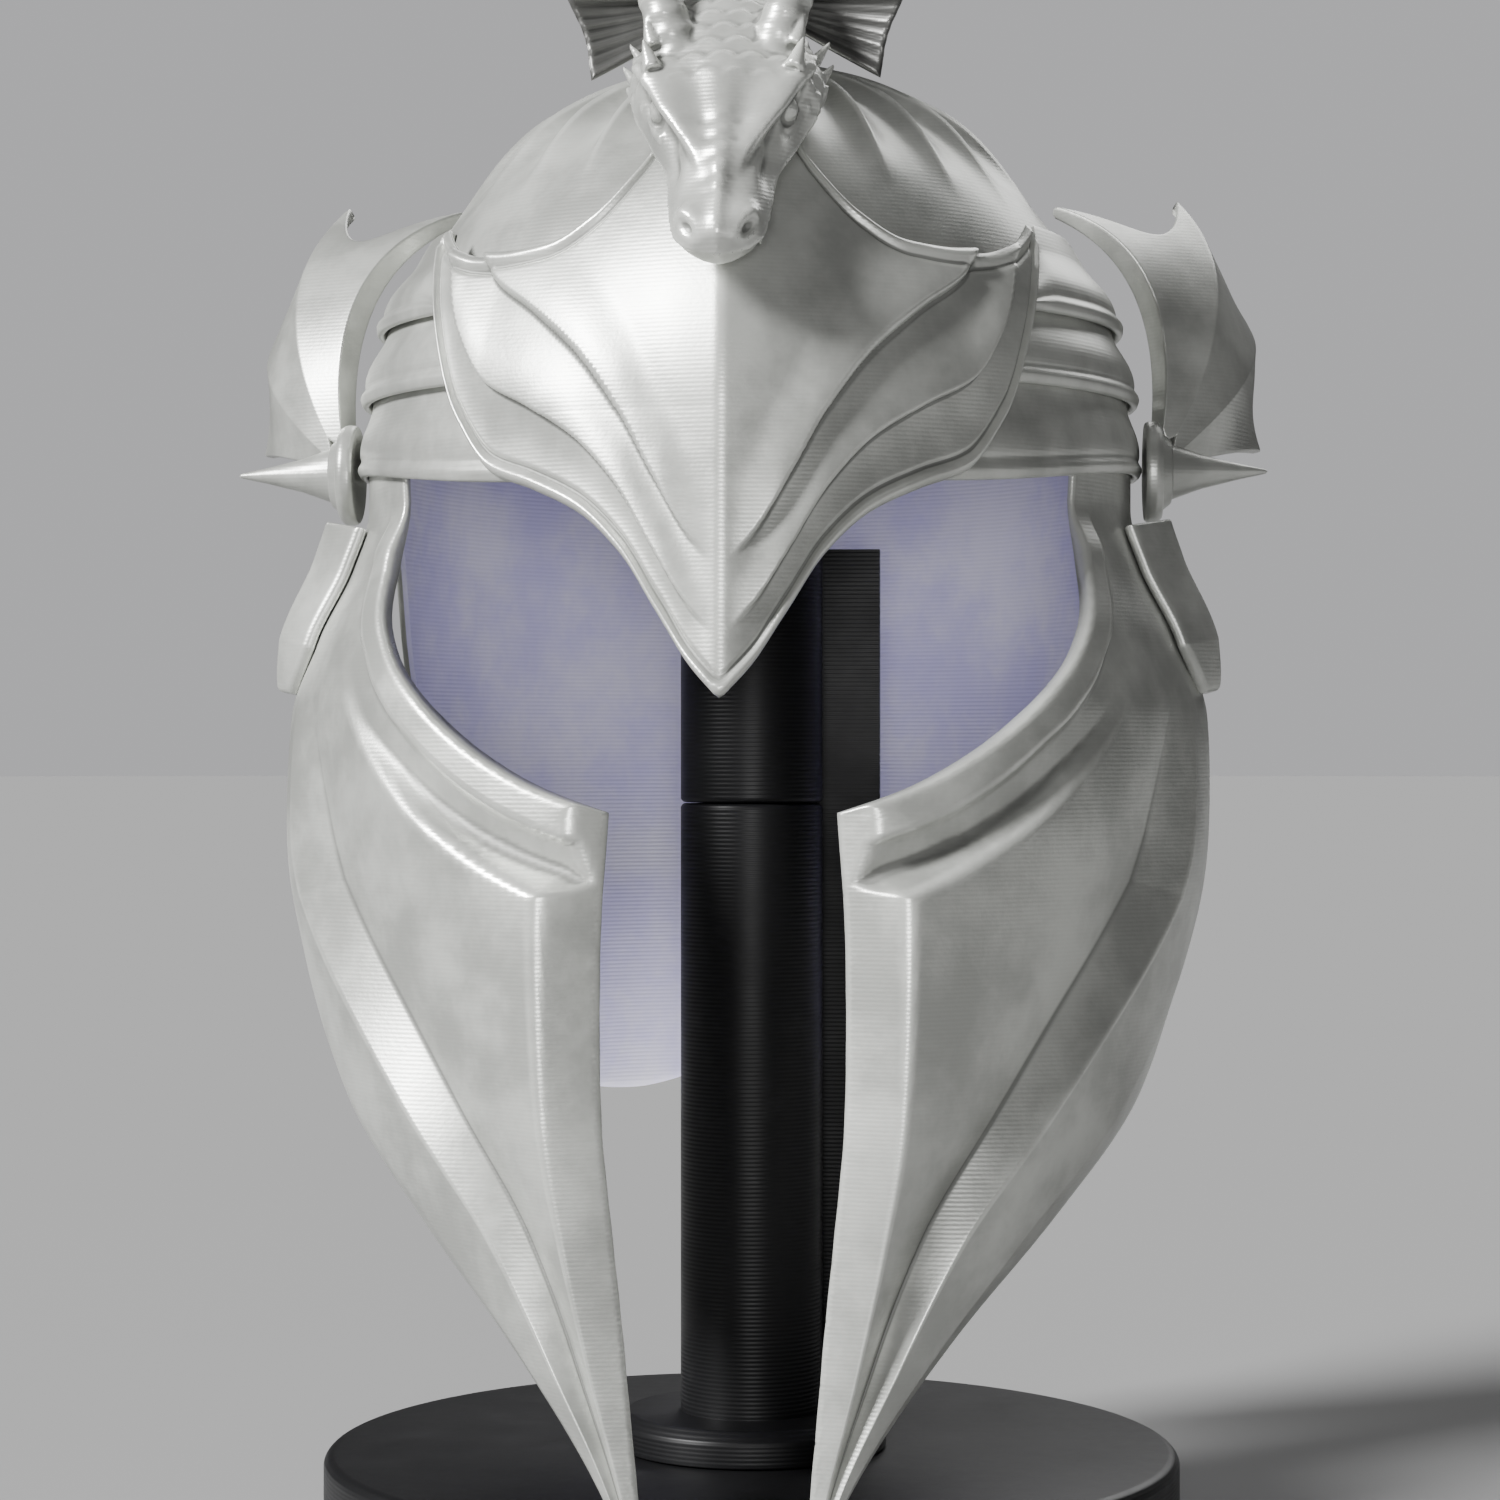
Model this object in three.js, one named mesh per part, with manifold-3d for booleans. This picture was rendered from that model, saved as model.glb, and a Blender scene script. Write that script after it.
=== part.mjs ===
// A dragon helmet on its display stand, in millimetres, +Z up.
// The stand's axis is X = Y = 0 and its foot is at Z = 0. The helmet faces -Y.
// The helmet is a hollow skull with shingled lames, a keeled brow plate with a nasal, two long cheek guards,
// a wing, boss and spur at each temple, and a horned dragon's head with a neck frill and a crest spine.
import * as THREE from "three";
import { mergeVertices } from "three/addons/utils/BufferGeometryUtils.js";
import Module from "manifold-3d";

const wasm = await Module();
wasm.setup();

// Driving dimensions of the helmet. Its own frame has z = 0 at the brow line and y = 0 at the ears.
const BROW_LINE_HEIGHT = 305;
const EAR_SETBACK = 8;
const TEMPLE_HALF_WIDTH = 103;
const FOREHEAD_DEPTH = 105;
const NAPE_DEPTH = 125;
const CROWN_RISE = 102;
const SKIRT_DROP = 188;
const WALL = 3;
const GAP = 0.35;

// Flutes are the raised ribs that run down the skull above the lames.
const FLUTE_RIBS = 24;
const FLUTE_RISE = 4.6;

// Lames are the shingled plates on each side of the skull.
const LAME_COUNT = 3;
const LAME_THICKNESS = 2.6;
const LAME_PITCH = 19;
const LAME_OVERLAP = 7;
const LAME_FOOT_DROP = 9;
const LAME_START_DEG = 26;
const LAME_STEP_DEG = 9;
const LAME_RAKE_DEG = 10;
const LAME_END_DEG = 96;

// The brow plate lies over the lames and ends in the nasal.
const BROW_THICKNESS = 3;
const BROW_END_DEG = 52;
const NASAL_DROP = 72;
const KEEL_RISE = 13;
const KEEL_HALF_DEG = 34;

// Cheek guards hang from the temples, flare over the jaw and taper to a point.
const CHEEK_TOP_DROP = 3;
const CHEEK_LENGTH = 288;
const JAW_HALF_WIDTH = 126;
const JAW_DEPTH = 122;
const CHEEK_RELIEF = 8;
const CHEEK_BEVEL = 11;
const CHEEK_BORDER = 8;
const CHEEK_BORDER_RISE = 2.2;

// Each temple carries a wing, a spiked boss over its root, and a spur over the cheek guard's arm.
const WING_SPAN = 96;
const WING_THICKNESS = 3;
const WING_RIB_RISE = 1.8;
const WING_SCALLOP = 0.2;
const BOSS_RADIUS = 14;
const BOSS_LENGTH = 34;
const BOSS_DROP = 7;
const BOSS_FORWARD = 4;
const BOSS_STANDOFF = 6.6;
const SPUR_LENGTH = 45;
const SPUR_WIDTH = 32;
const SPUR_THICKNESS = 3;
const SPUR_RIDGE = 8;
const SPUR_SEAT = 3;

// The dragon's head lies down the forehead, snout lowest.
const HEAD_LENGTH = 82;
const HEAD_WIDTH = 44;
const HEAD_FORWARD = 113;
const HEAD_RISE = 68;
const HEAD_PITCH_DEG = 52;
const HORN_LENGTH = 62;
const HORN_RADIUS = 6;
const NECK_RADIUS = 15;
const FRILL_RADIUS = 45;
const FRILL_THICKNESS = 2.6;
const FRILL_DISH = 7;
const FRILL_SPREAD_DEG = 122;
const FRILL_RIBS = 8;
const FRILL_FORWARD = 58;
const FRILL_RISE = 115;

// The crest is a spine bar from the crown down the back.
const SPINE_HALF_WIDTH = 5;
const SPINE_HEIGHT = 6;
const SPINE_START_LEVEL = 0.86;
const SPINE_END_LEVEL = -0.12;

// Driving dimensions of the stand.
const BASE_RADIUS = 120;
const BASE_HEIGHT = 25;
const BASE_CHAMFER = 2;
const COLLAR_RADIUS = 38;
const COLLAR_HEIGHT = 10;
const POST_RADIUS = 20;
const POST_JOINT_HEIGHT = 206;
const POST_CHAMFER = 0.8;
const RAIL_WIDTH = 36;
const RAIL_THICKNESS = 10;
const RAIL_HEIGHT = 243;
const PAD_FLOOR = 82;

const DEG = Math.PI / 180;
const { lerp, smoothstep, clamp } = THREE.MathUtils;

// Skirt of the skull below the brow line, as shares of the temple width and the two depths.
const SKIRT = [
  { drop: 0.0, side: 1.0, front: 1.0, back: 1.0 },
  { drop: 0.25, side: 1.0, front: 1.02, back: 1.0 },
  { drop: 0.5, side: 0.97, front: 1.05, back: 0.95 },
  { drop: 0.75, side: 0.93, front: 1.05, back: 0.89 },
  { drop: 1.0, side: 0.9, front: 1.05, back: 0.93 },
];

// Lower rim of the skull, as a share of the skirt's drop at each angle from the front.
const RIM = [
  { angle: 0, drop: 0.01 },
  { angle: 72, drop: 0.01 },
  { angle: 86, drop: 0.04 },
  { angle: 95, drop: 0.13 },
  { angle: 101, drop: 0.36 },
  { angle: 106, drop: 0.62 },
  { angle: 112, drop: 0.81 },
  { angle: 124, drop: 0.94 },
  { angle: 152, drop: 1.0 },
  { angle: 168, drop: 0.97 },
  { angle: 180, drop: 0.91 },
];

// Outline of the brow plate: its lower edge as a share of the nasal's drop, its upper edge of the crown's rise.
const BROW = [
  { angle: 0, low: 1.0, high: 0.78 },
  { angle: 4, low: 0.88, high: 0.765 },
  { angle: 8, low: 0.71, high: 0.7 },
  { angle: 13, low: 0.5, high: 0.575 },
  { angle: 19, low: 0.35, high: 0.465 },
  { angle: 26, low: 0.26, high: 0.4 },
  { angle: 33, low: 0.19, high: 0.385 },
  { angle: 39, low: 0.0, high: 0.39 },
  { angle: 44, low: -0.25, high: 0.41 },
  { angle: 48, low: -0.44, high: 0.445 },
  { angle: 52, low: -0.62, high: 0.49 },
];

// Jaw surface under the cheek guards: flare blends it from the skull to the jaw's own width and depth.
const JAW = [
  { drop: 0.0, flare: 0.0, side: 1.0, front: 1.0 },
  { drop: 0.05, flare: 0.0, side: 1.0, front: 1.0 },
  { drop: 0.11, flare: 0.25, side: 1.0, front: 0.995 },
  { drop: 0.18, flare: 0.74, side: 1.0, front: 0.99 },
  { drop: 0.25, flare: 1.0, side: 1.0, front: 0.99 },
  { drop: 0.35, flare: 1.0, side: 0.985, front: 1.0 },
  { drop: 0.5, flare: 1.0, side: 0.94, front: 1.01 },
  { drop: 0.6, flare: 1.0, side: 0.9, front: 1.01 },
  { drop: 0.7, flare: 1.0, side: 0.81, front: 1.0 },
  { drop: 0.8, flare: 1.0, side: 0.72, front: 0.99 },
  { drop: 1.0, flare: 1.0, side: 0.6, front: 0.965 },
];

// Edges of a cheek guard, from the temple to the corner below the eye, and from there to the tip.
// Angles are from the front, and drops are shares of the cheek guard's length.
const CHEEK_ARM = [
  { step: 0.0, innerAngle: 57, innerDrop: 0.0, outerAngle: 93, outerDrop: 0.0 },
  { step: 0.15, innerAngle: 56, innerDrop: 0.06, outerAngle: 95, outerDrop: 0.06 },
  { step: 0.3, innerAngle: 53, innerDrop: 0.125, outerAngle: 97, outerDrop: 0.125 },
  { step: 0.45, innerAngle: 46.5, innerDrop: 0.187, outerAngle: 98.5, outerDrop: 0.19 },
  { step: 0.6, innerAngle: 38.5, innerDrop: 0.236, outerAngle: 99, outerDrop: 0.255 },
  { step: 0.74, innerAngle: 30, innerDrop: 0.281, outerAngle: 98, outerDrop: 0.32 },
  { step: 0.87, innerAngle: 21.5, innerDrop: 0.314, outerAngle: 95.5, outerDrop: 0.385 },
  { step: 1.0, innerAngle: 13.3, innerDrop: 0.335, outerAngle: 91, outerDrop: 0.45 },
];
const CHEEK_BLADE = [
  { step: 0.0, innerAngle: 13.3, innerDrop: 0.335, outerAngle: 91, outerDrop: 0.45 },
  { step: 0.18, innerAngle: 14.8, innerDrop: 0.45, outerAngle: 82, outerDrop: 0.535 },
  { step: 0.36, innerAngle: 15.6, innerDrop: 0.58, outerAngle: 70, outerDrop: 0.625 },
  { step: 0.54, innerAngle: 16, innerDrop: 0.7, outerAngle: 55, outerDrop: 0.715 },
  { step: 0.72, innerAngle: 16.2, innerDrop: 0.82, outerAngle: 39.5, outerDrop: 0.805 },
  { step: 0.87, innerAngle: 15.9, innerDrop: 0.92, outerAngle: 26, outerDrop: 0.9 },
  { step: 1.0, innerAngle: 15.4, innerDrop: 1.0, outerAngle: 17.2, outerDrop: 0.985 },
];

// Height of the cheek guard's relief across its width, as a share of the relief.
const CHEEK_PROFILE = [
  { across: 0.0, rise: 1.0 },
  { across: 0.34, rise: 0.92 },
  { across: 0.42, rise: 0.22 },
  { across: 0.5, rise: 0.3 },
  { across: 0.68, rise: 1.0 },
  { across: 0.8, rise: 0.5 },
  { across: 1.0, rise: 0.0 },
];
const CHEEK_COLUMNS = [0, 0.05, 0.12, 0.23, 0.34, 0.42, 0.5, 0.6, 0.68, 0.8, 0.9, 1];

// Wing fingers from the root, bend and tip as shares of the span: out from the head, back and up.
const FINGERS = [
  { bendOut: 0.14, bendBack: 0.04, bendUp: 0.66, tipOut: -0.28, tipBack: 0.46, tipUp: 0.84 },
  { bendOut: 0.34, bendBack: 0.1, bendUp: 0.54, tipOut: 0.1, tipBack: 0.62, tipUp: 0.88 },
  { bendOut: 0.38, bendBack: 0.12, bendUp: 0.3, tipOut: 0.33, tipBack: 0.74, tipUp: 0.5 },
  { bendOut: 0.26, bendBack: 0.16, bendUp: 0.08, tipOut: 0.35, tipBack: 0.52, tipUp: 0.1 },
];

// Sections of the dragon's head from nape to snout, as shares of its length and width.
const HEAD_SECTIONS = [
  { along: -0.5, half: 0.36, top: 0.28, bottom: 0.3 },
  { along: -0.36, half: 0.46, top: 0.34, bottom: 0.34 },
  { along: -0.16, half: 0.5, top: 0.33, bottom: 0.34 },
  { along: 0.0, half: 0.41, top: 0.26, bottom: 0.31 },
  { along: 0.14, half: 0.31, top: 0.19, bottom: 0.27 },
  { along: 0.32, half: 0.27, top: 0.17, bottom: 0.22 },
  { along: 0.44, half: 0.24, top: 0.16, bottom: 0.17 },
  { along: 0.5, half: 0.13, top: 0.07, bottom: 0.09 },
];

// Helpers.

// A smooth curve through a table's rows, with no overshoot between them.
function readTable(rows, key, column, at) {
  const x = rows.map((row) => row[key]);
  const y = rows.map((row) => row[column]);
  const last = x.length - 1;
  const t = clamp(at, x[0], x[last]);
  let i = 0;
  while (i < last - 1 && t > x[i + 1]) i++;
  const slope = (k) => (y[k + 1] - y[k]) / (x[k + 1] - x[k]);
  const tangent = (k) => {
    if (k === 0) return slope(0);
    if (k === last) return slope(last - 1);
    const before = slope(k - 1);
    const after = slope(k);
    return before * after <= 0 ? 0 : (2 * before * after) / (before + after);
  };
  const step = x[i + 1] - x[i];
  const s = (t - x[i]) / step;
  const rest = 1 - s;
  return (
    y[i] * (1 + 2 * s) * rest * rest +
    y[i + 1] * s * s * (3 - 2 * s) +
    step * s * rest * (tangent(i) * rest - tangent(i + 1) * s)
  );
}

// Straight lines through a table's rows.
function readLines(rows, key, column, at) {
  let i = 0;
  while (i < rows.length - 2 && at > rows[i + 1][key]) i++;
  const share = (at - rows[i][key]) / (rows[i + 1][key] - rows[i][key]);
  return lerp(rows[i][column], rows[i + 1][column], clamp(share, 0, 1));
}

function geometryOf(points, index) {
  const geometry = new THREE.BufferGeometry();
  geometry.setAttribute("position", new THREE.Float32BufferAttribute(points, 3));
  geometry.setIndex(index);
  return geometry;
}

// A closed plate between an outer and an inner sheet. Both take a share up and a share across.
function plate(rows, columns, outerAt, innerAt) {
  const stride = columns.length;
  const sheet = rows.length * stride;
  const points = [outerAt, innerAt].flatMap((at) =>
    rows.flatMap((up) => columns.flatMap((across) => at(up, across).toArray())),
  );
  const index = [];
  const quad = (a, b, c, d) => index.push(a, b, c, a, c, d);
  for (let i = 0; i < rows.length - 1; i++) {
    for (let j = 0; j < stride - 1; j++) {
      const a = i * stride + j;
      const [b, c, d] = [a + 1, a + stride + 1, a + stride];
      quad(a, b, c, d);
      quad(sheet + d, sheet + c, sheet + b, sheet + a);
      if (i === 0) quad(sheet + a, sheet + b, b, a);
      if (i === rows.length - 2) quad(d, c, sheet + c, sheet + d);
      if (j === 0) quad(a, d, sheet + d, sheet + a);
      if (j === stride - 2) quad(sheet + b, sheet + c, c, b);
    }
  }
  return geometryOf(points, index);
}

// A ring of points for each row, closed by a crown point, wound to face out when outward is true.
function dome(rowCount, columnCount, pointAt, crown, outward, first) {
  const points = [];
  const index = [];
  const at = (i, j) => first + i * columnCount + (j % columnCount);
  const turn = (a, b, c) => index.push(...(outward ? [a, b, c] : [a, c, b]));
  for (let i = 0; i < rowCount; i++) {
    for (let j = 0; j < columnCount; j++) {
      points.push(...pointAt(i / rowCount, j / columnCount).toArray());
      if (i < rowCount - 1) {
        turn(at(i, j), at(i, j + 1), at(i + 1, j + 1));
        turn(at(i, j), at(i + 1, j + 1), at(i + 1, j));
      } else {
        turn(at(i, j), at(i, j + 1), first + rowCount * columnCount);
      }
    }
  }
  points.push(...crown.toArray());
  return { points, index };
}

// A closed solid through rings of points, with a flat fan at each end.
function loft(rings) {
  const count = rings[0].length;
  const points = rings.flatMap((ring) => ring.flatMap((p) => p.toArray()));
  const middle = (ring) =>
    ring.reduce((sum, p) => sum.add(p), new THREE.Vector3()).divideScalar(count);
  points.push(...middle(rings[0]).toArray(), ...middle(rings.at(-1)).toArray());
  const index = [];
  const start = rings.length * count;
  const lastRing = start - count;
  for (let j = 0; j < count; j++) {
    const next = (j + 1) % count;
    for (let i = 0; i < rings.length - 1; i++) {
      const [a, b] = [i * count + j, i * count + next];
      index.push(a, b, b + count, a, b + count, a + count);
    }
    index.push(start, next, j);
    index.push(start + 1, lastRing + j, lastRing + next);
  }
  return facingOut(geometryOf(points, index));
}

// The same closed geometry with its faces pointing out, whichever way they were wound.
function facingOut(geometry) {
  const p = geometry.attributes.position;
  const index = geometry.index.array;
  const [a, b, c] = [new THREE.Vector3(), new THREE.Vector3(), new THREE.Vector3()];
  let volume = 0;
  for (let i = 0; i < index.length; i += 3) {
    a.fromBufferAttribute(p, index[i]);
    b.fromBufferAttribute(p, index[i + 1]);
    c.fromBufferAttribute(p, index[i + 2]);
    volume += a.dot(b.cross(c));
  }
  return volume < 0 ? turnedRound(geometry) : geometry;
}

function turnedRound(geometry) {
  const index = geometry.index.array;
  for (let i = 0; i < index.length; i += 3) {
    [index[i + 1], index[i + 2]] = [index[i + 2], index[i + 1]];
  }
  return geometry;
}

function mirrored(geometry) {
  return turnedRound(geometry.clone().scale(-1, 1, 1));
}

function solidOf(geometry) {
  const bare = geometry.clone();
  bare.deleteAttribute("normal");
  bare.deleteAttribute("uv");
  const merged = mergeVertices(bare, 1e-3);
  return new wasm.Manifold(
    new wasm.Mesh({
      numProp: 3,
      vertProperties: new Float32Array(merged.attributes.position.array),
      triVerts: new Uint32Array(merged.index.array),
    }),
  );
}

function geometryFrom(solid) {
  const mesh = solid.getMesh();
  return geometryOf(Array.from(mesh.vertProperties), Array.from(mesh.triVerts));
}

// The largest of a cut solid's bodies, so that no sliver is left beside it.
function largestBody(solid) {
  const bodies = solid.decompose();
  return bodies.reduce((best, body) => (body.volume() > best.volume() ? body : best));
}

function steps(count) {
  return Array.from({ length: count + 1 }, (_, i) => i / count);
}

// The skull and the jaw, as surfaces of an angle from the front and a height.

// Level runs from -1 at the bottom rim, through 0 at the brow line, to 1 at the crown.
function skullPoint(angle, level) {
  const swing = Math.max(level, 0) * (Math.PI / 2);
  const drop = Math.max(-level, 0);
  const round = Math.cos(swing);
  const side = TEMPLE_HALF_WIDTH * round * readTable(SKIRT, "drop", "side", drop);
  const depth =
    Math.cos(angle) > 0
      ? FOREHEAD_DEPTH * readTable(SKIRT, "drop", "front", drop)
      : NAPE_DEPTH * readTable(SKIRT, "drop", "back", drop);
  const z = CROWN_RISE * Math.sin(swing) - SKIRT_DROP * drop;
  return new THREE.Vector3(side * Math.sin(angle), -depth * round * Math.cos(angle), z);
}

function levelAt(z) {
  return z >= 0 ? Math.asin(Math.min(z / CROWN_RISE, 1)) / (Math.PI / 2) : z / SKIRT_DROP;
}

function jawPoint(angle, z) {
  const drop = clamp((-CHEEK_TOP_DROP - z) / CHEEK_LENGTH, 0, 1);
  const flare = readTable(JAW, "drop", "flare", drop);
  const skullSide = TEMPLE_HALF_WIDTH + GAP + LAME_THICKNESS;
  const skullFront = FOREHEAD_DEPTH + GAP + LAME_THICKNESS;
  const side = JAW_HALF_WIDTH * readTable(JAW, "drop", "side", drop);
  const front = JAW_DEPTH * readTable(JAW, "drop", "front", drop);
  return new THREE.Vector3(
    lerp(skullSide, side, flare) * Math.sin(angle),
    -lerp(skullFront, front, flare) * Math.cos(angle),
    z,
  );
}

// A point of a surface moved out along its normal.
function lifted(surface, angle, height, lift, step = 1e-3) {
  const across = surface(angle + step, height).sub(surface(angle - step, height));
  const up = surface(angle, height + step).sub(surface(angle, height - step));
  return surface(angle, height).addScaledVector(across.cross(up).normalize(), lift);
}

// Ribs of the skull: none under the lames, down the middle, or at the crown. They run lower at the back.
function fluteRise(angle, level) {
  const wave = 1 - Math.abs(Math.sin((FLUTE_RIBS / 2) * angle));
  const besideMiddle = smoothstep(Math.abs(Math.sin(angle)), 0.2, 0.4);
  const foot = lerp(0.39, -0.45, smoothstep(-Math.cos(angle), 0.2, 0.5));
  const aboveLames = smoothstep(level, foot, foot + 0.16) * (1 - smoothstep(level, 0.84, 0.98));
  return FLUTE_RISE * wave * besideMiddle * aboveLames;
}

function rimLevel(angle) {
  const fromFront = Math.acos(clamp(Math.cos(angle), -1, 1)) / DEG;
  return -readTable(RIM, "angle", "drop", fromFront);
}

// Helmet shell.

const SHELL_COLUMNS = 48;
const SHELL_ROWS = 13;
const SHELL_INNER_ROWS = 8;

function skullSkin(share, turn, lift) {
  const angle = turn * 2 * Math.PI;
  const level = lerp(rimLevel(angle), 1, share);
  return lifted(skullPoint, angle, level, lift + (lift < 0 ? 0 : fluteRise(angle, level)));
}

function skullDome(rowCount, lift, outward, first) {
  const at = (share, turn) => skullSkin(share, turn, lift);
  const crown = new THREE.Vector3(0, 0, CROWN_RISE + lift);
  return dome(rowCount, SHELL_COLUMNS, at, crown, outward, first);
}

function skullShell() {
  const outside = skullDome(SHELL_ROWS, 0, true, 0);
  const first = outside.points.length / 3;
  const inside = skullDome(SHELL_INNER_ROWS, -WALL, false, first);
  const rim = [];
  for (let j = 0; j < SHELL_COLUMNS; j++) {
    const next = (j + 1) % SHELL_COLUMNS;
    rim.push(first + j, first + next, next, first + j, next, j);
  }
  return geometryOf(
    [...outside.points, ...inside.points],
    [...outside.index, ...inside.index, ...rim],
  );
}

// The room the skull takes, a gap wider than its outside, for the pieces seated on it.
function skullClearance() {
  const made = skullDome(SHELL_ROWS, GAP, true, 0);
  const foot = made.points.length / 3;
  for (let j = 0; j < SHELL_COLUMNS; j++) made.index.push((j + 1) % SHELL_COLUMNS, j, foot);
  return geometryOf([...made.points, 0, 0, -SKIRT_DROP], made.index);
}

// Lames. Each one's foot is raised to lie over the head of the one below.

const LAME_LIFT = GAP + LAME_THICKNESS;

function lame(number) {
  const reach = LAME_PITCH + LAME_OVERLAP;
  const foot = number * LAME_PITCH - LAME_FOOT_DROP;
  const zone = LAME_OVERLAP / reach;
  const start = LAME_START_DEG + number * LAME_STEP_DEG;
  const angleAt = (up, across) => lerp(start + up * LAME_RAKE_DEG, LAME_END_DEG, across) * DEG;
  const sheet = (extra) => (up, across) => {
    const raised = 1 - smoothstep(up, zone, 1 - zone);
    const arch = number === 0 ? readTable(BROW, "angle", "low", 30) * NASAL_DROP : 0;
    const dip = (arch > 0 ? arch - LAME_FOOT_DROP : 0) * (1 - smoothstep(across, 0, 0.8));
    const z = foot - dip * (1 - up) + up * reach;
    return lifted(skullPoint, angleAt(up, across), levelAt(z), GAP + LAME_LIFT * raised + extra);
  };
  return plate([0, zone, 0.5, 1 - zone, 1], steps(11), sheet(LAME_THICKNESS), sheet(0));
}

// Brow plate with its keel and nasal.

const BROW_LIFT = 2 * GAP + 2 * LAME_LIFT;

function browPoint(angle, up, lift) {
  const fromFront = Math.abs(angle) / DEG;
  const low = -NASAL_DROP * readTable(BROW, "angle", "low", fromFront);
  const high = CROWN_RISE * readTable(BROW, "angle", "high", fromFront);
  const keel = KEEL_RISE * Math.max(0, 1 - fromFront / KEEL_HALF_DEG) ** 1.5;
  const point = lifted(skullPoint, angle, levelAt(lerp(low, high, up)), BROW_LIFT + lift);
  return point.add(new THREE.Vector3(0, -keel, 0));
}

const BROW_HALF = [0, 4, 8, 13, 18, 23, 28, 33, 37, 40.5, 44, 48, BROW_END_DEG];
const BROW_TURNS = [...BROW_HALF.slice(1).map((turn) => -turn).reverse(), ...BROW_HALF];

function browPlate(clearance = 0) {
  const sheet = (lift) => (up, across) =>
    browPoint(lerp(-BROW_END_DEG, BROW_END_DEG, across) * DEG, up, lift);
  const rows = clearance ? [...steps(12), 1.02] : steps(12);
  const columns = BROW_TURNS.map((turn) => (turn / BROW_END_DEG + 1) / 2);
  const inner = clearance ? -BROW_LIFT - WALL : 0;
  return plate(rows, columns, sheet(BROW_THICKNESS + clearance), sheet(inner));
}

// Cheek guards.

// Step runs from 0 at the temple, through 1 at the corner below the eye, to 2 at the tip.
function cheekEdge(step, edge) {
  const rows = step <= 1 ? CHEEK_ARM : CHEEK_BLADE;
  const at = step <= 1 ? step : step - 1;
  return {
    angle: readTable(rows, "step", edge + "Angle", at),
    drop: readTable(rows, "step", edge + "Drop", at),
  };
}

function cheekPoint(step, across, lift) {
  const inner = cheekEdge(step, "inner");
  const outer = cheekEdge(step, "outer");
  const angle = lerp(inner.angle, outer.angle, across) * DEG;
  const z = -CHEEK_TOP_DROP - CHEEK_LENGTH * lerp(inner.drop, outer.drop, across);
  return lifted(jawPoint, angle, z, lift);
}

function cheekWidth(step) {
  const middle = cheekPoint(step, 0.5, 0);
  return cheekPoint(step, 0, 0).distanceTo(middle) + middle.distanceTo(cheekPoint(step, 1, 0));
}

function cheekRise(step, across) {
  const width = cheekWidth(step);
  const inwards = across * width;
  const bladeShare = smoothstep(step, 0.55, 1.15);
  const small = Math.min(1, width / (4 * CHEEK_BEVEL));
  const bevel = smoothstep(inwards / small, -CHEEK_BEVEL * 0.4, CHEEK_BEVEL);
  const blade = CHEEK_RELIEF * small * bevel * readLines(CHEEK_PROFILE, "across", "rise", across);
  const border = CHEEK_BORDER_RISE * (1 - smoothstep(inwards, CHEEK_BORDER * 0.8, CHEEK_BORDER));
  return lerp(border * smoothstep(step, 0.14, 0.26), blade, bladeShare);
}

function cheekGuard() {
  const outer = (up, across) => cheekPoint(2 - 2 * up, across, cheekRise(2 - 2 * up, across));
  const inner = (up, across) => cheekPoint(2 - 2 * up, across, -LAME_THICKNESS);
  return plate(steps(22), CHEEK_COLUMNS, outer, inner);
}

// Temple fittings.

const BOSS_BASE_X = TEMPLE_HALF_WIDTH + BOSS_STANDOFF;
const ROOT = new THREE.Vector3(BOSS_BASE_X + WING_THICKNESS, -BOSS_FORWARD, -BOSS_DROP);

function fingerPoint(finger, along) {
  const at = (kind) =>
    new THREE.Vector3(finger[kind + "Out"], finger[kind + "Back"], finger[kind + "Up"])
      .multiplyScalar(WING_SPAN)
      .add(ROOT);
  return new THREE.QuadraticBezierCurve3(ROOT, at("bend"), at("tip")).getPoint(along);
}

function wingPoint(along, spread) {
  const last = FINGERS.length - 1;
  const i = Math.min(Math.floor(spread * last), last - 1);
  const between = spread * last - i;
  const reach = along * (1 - WING_SCALLOP * 4 * between * (1 - between));
  return fingerPoint(FINGERS[i], reach).lerp(fingerPoint(FINGERS[i + 1], reach), between);
}

function wingSheet(along, spread, lift) {
  const step = 1e-3;
  const s = clamp(spread, step, 1 - step);
  const out = wingPoint(along + step, s).sub(wingPoint(along - step, s));
  const over = wingPoint(along, s + step).sub(wingPoint(along, s - step));
  return wingPoint(along, spread).addScaledVector(over.cross(out).normalize(), lift);
}

function bossTurned(profile) {
  const points = profile.map(([radius, out]) => new THREE.Vector2(radius, out));
  return new THREE.LatheGeometry(points, 16)
    .rotateZ(-Math.PI / 2)
    .translate(BOSS_BASE_X, ROOT.y, ROOT.z);
}

function boss() {
  return bossTurned([
    [0, 0],
    [BOSS_RADIUS, 0],
    [BOSS_RADIUS, BOSS_LENGTH * 0.12],
    [BOSS_RADIUS * 0.86, BOSS_LENGTH * 0.18],
    [BOSS_RADIUS * 0.62, BOSS_LENGTH * 0.24],
    [BOSS_RADIUS * 0.34, BOSS_LENGTH * 0.46],
    [BOSS_RADIUS * 0.16, BOSS_LENGTH * 0.76],
    [0, BOSS_LENGTH],
  ]);
}

function bossClearance() {
  const radius = BOSS_RADIUS + GAP;
  return bossTurned([
    [0, -BOSS_LENGTH],
    [radius, -BOSS_LENGTH],
    [radius, BOSS_LENGTH],
    [0, BOSS_LENGTH],
  ]);
}

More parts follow.
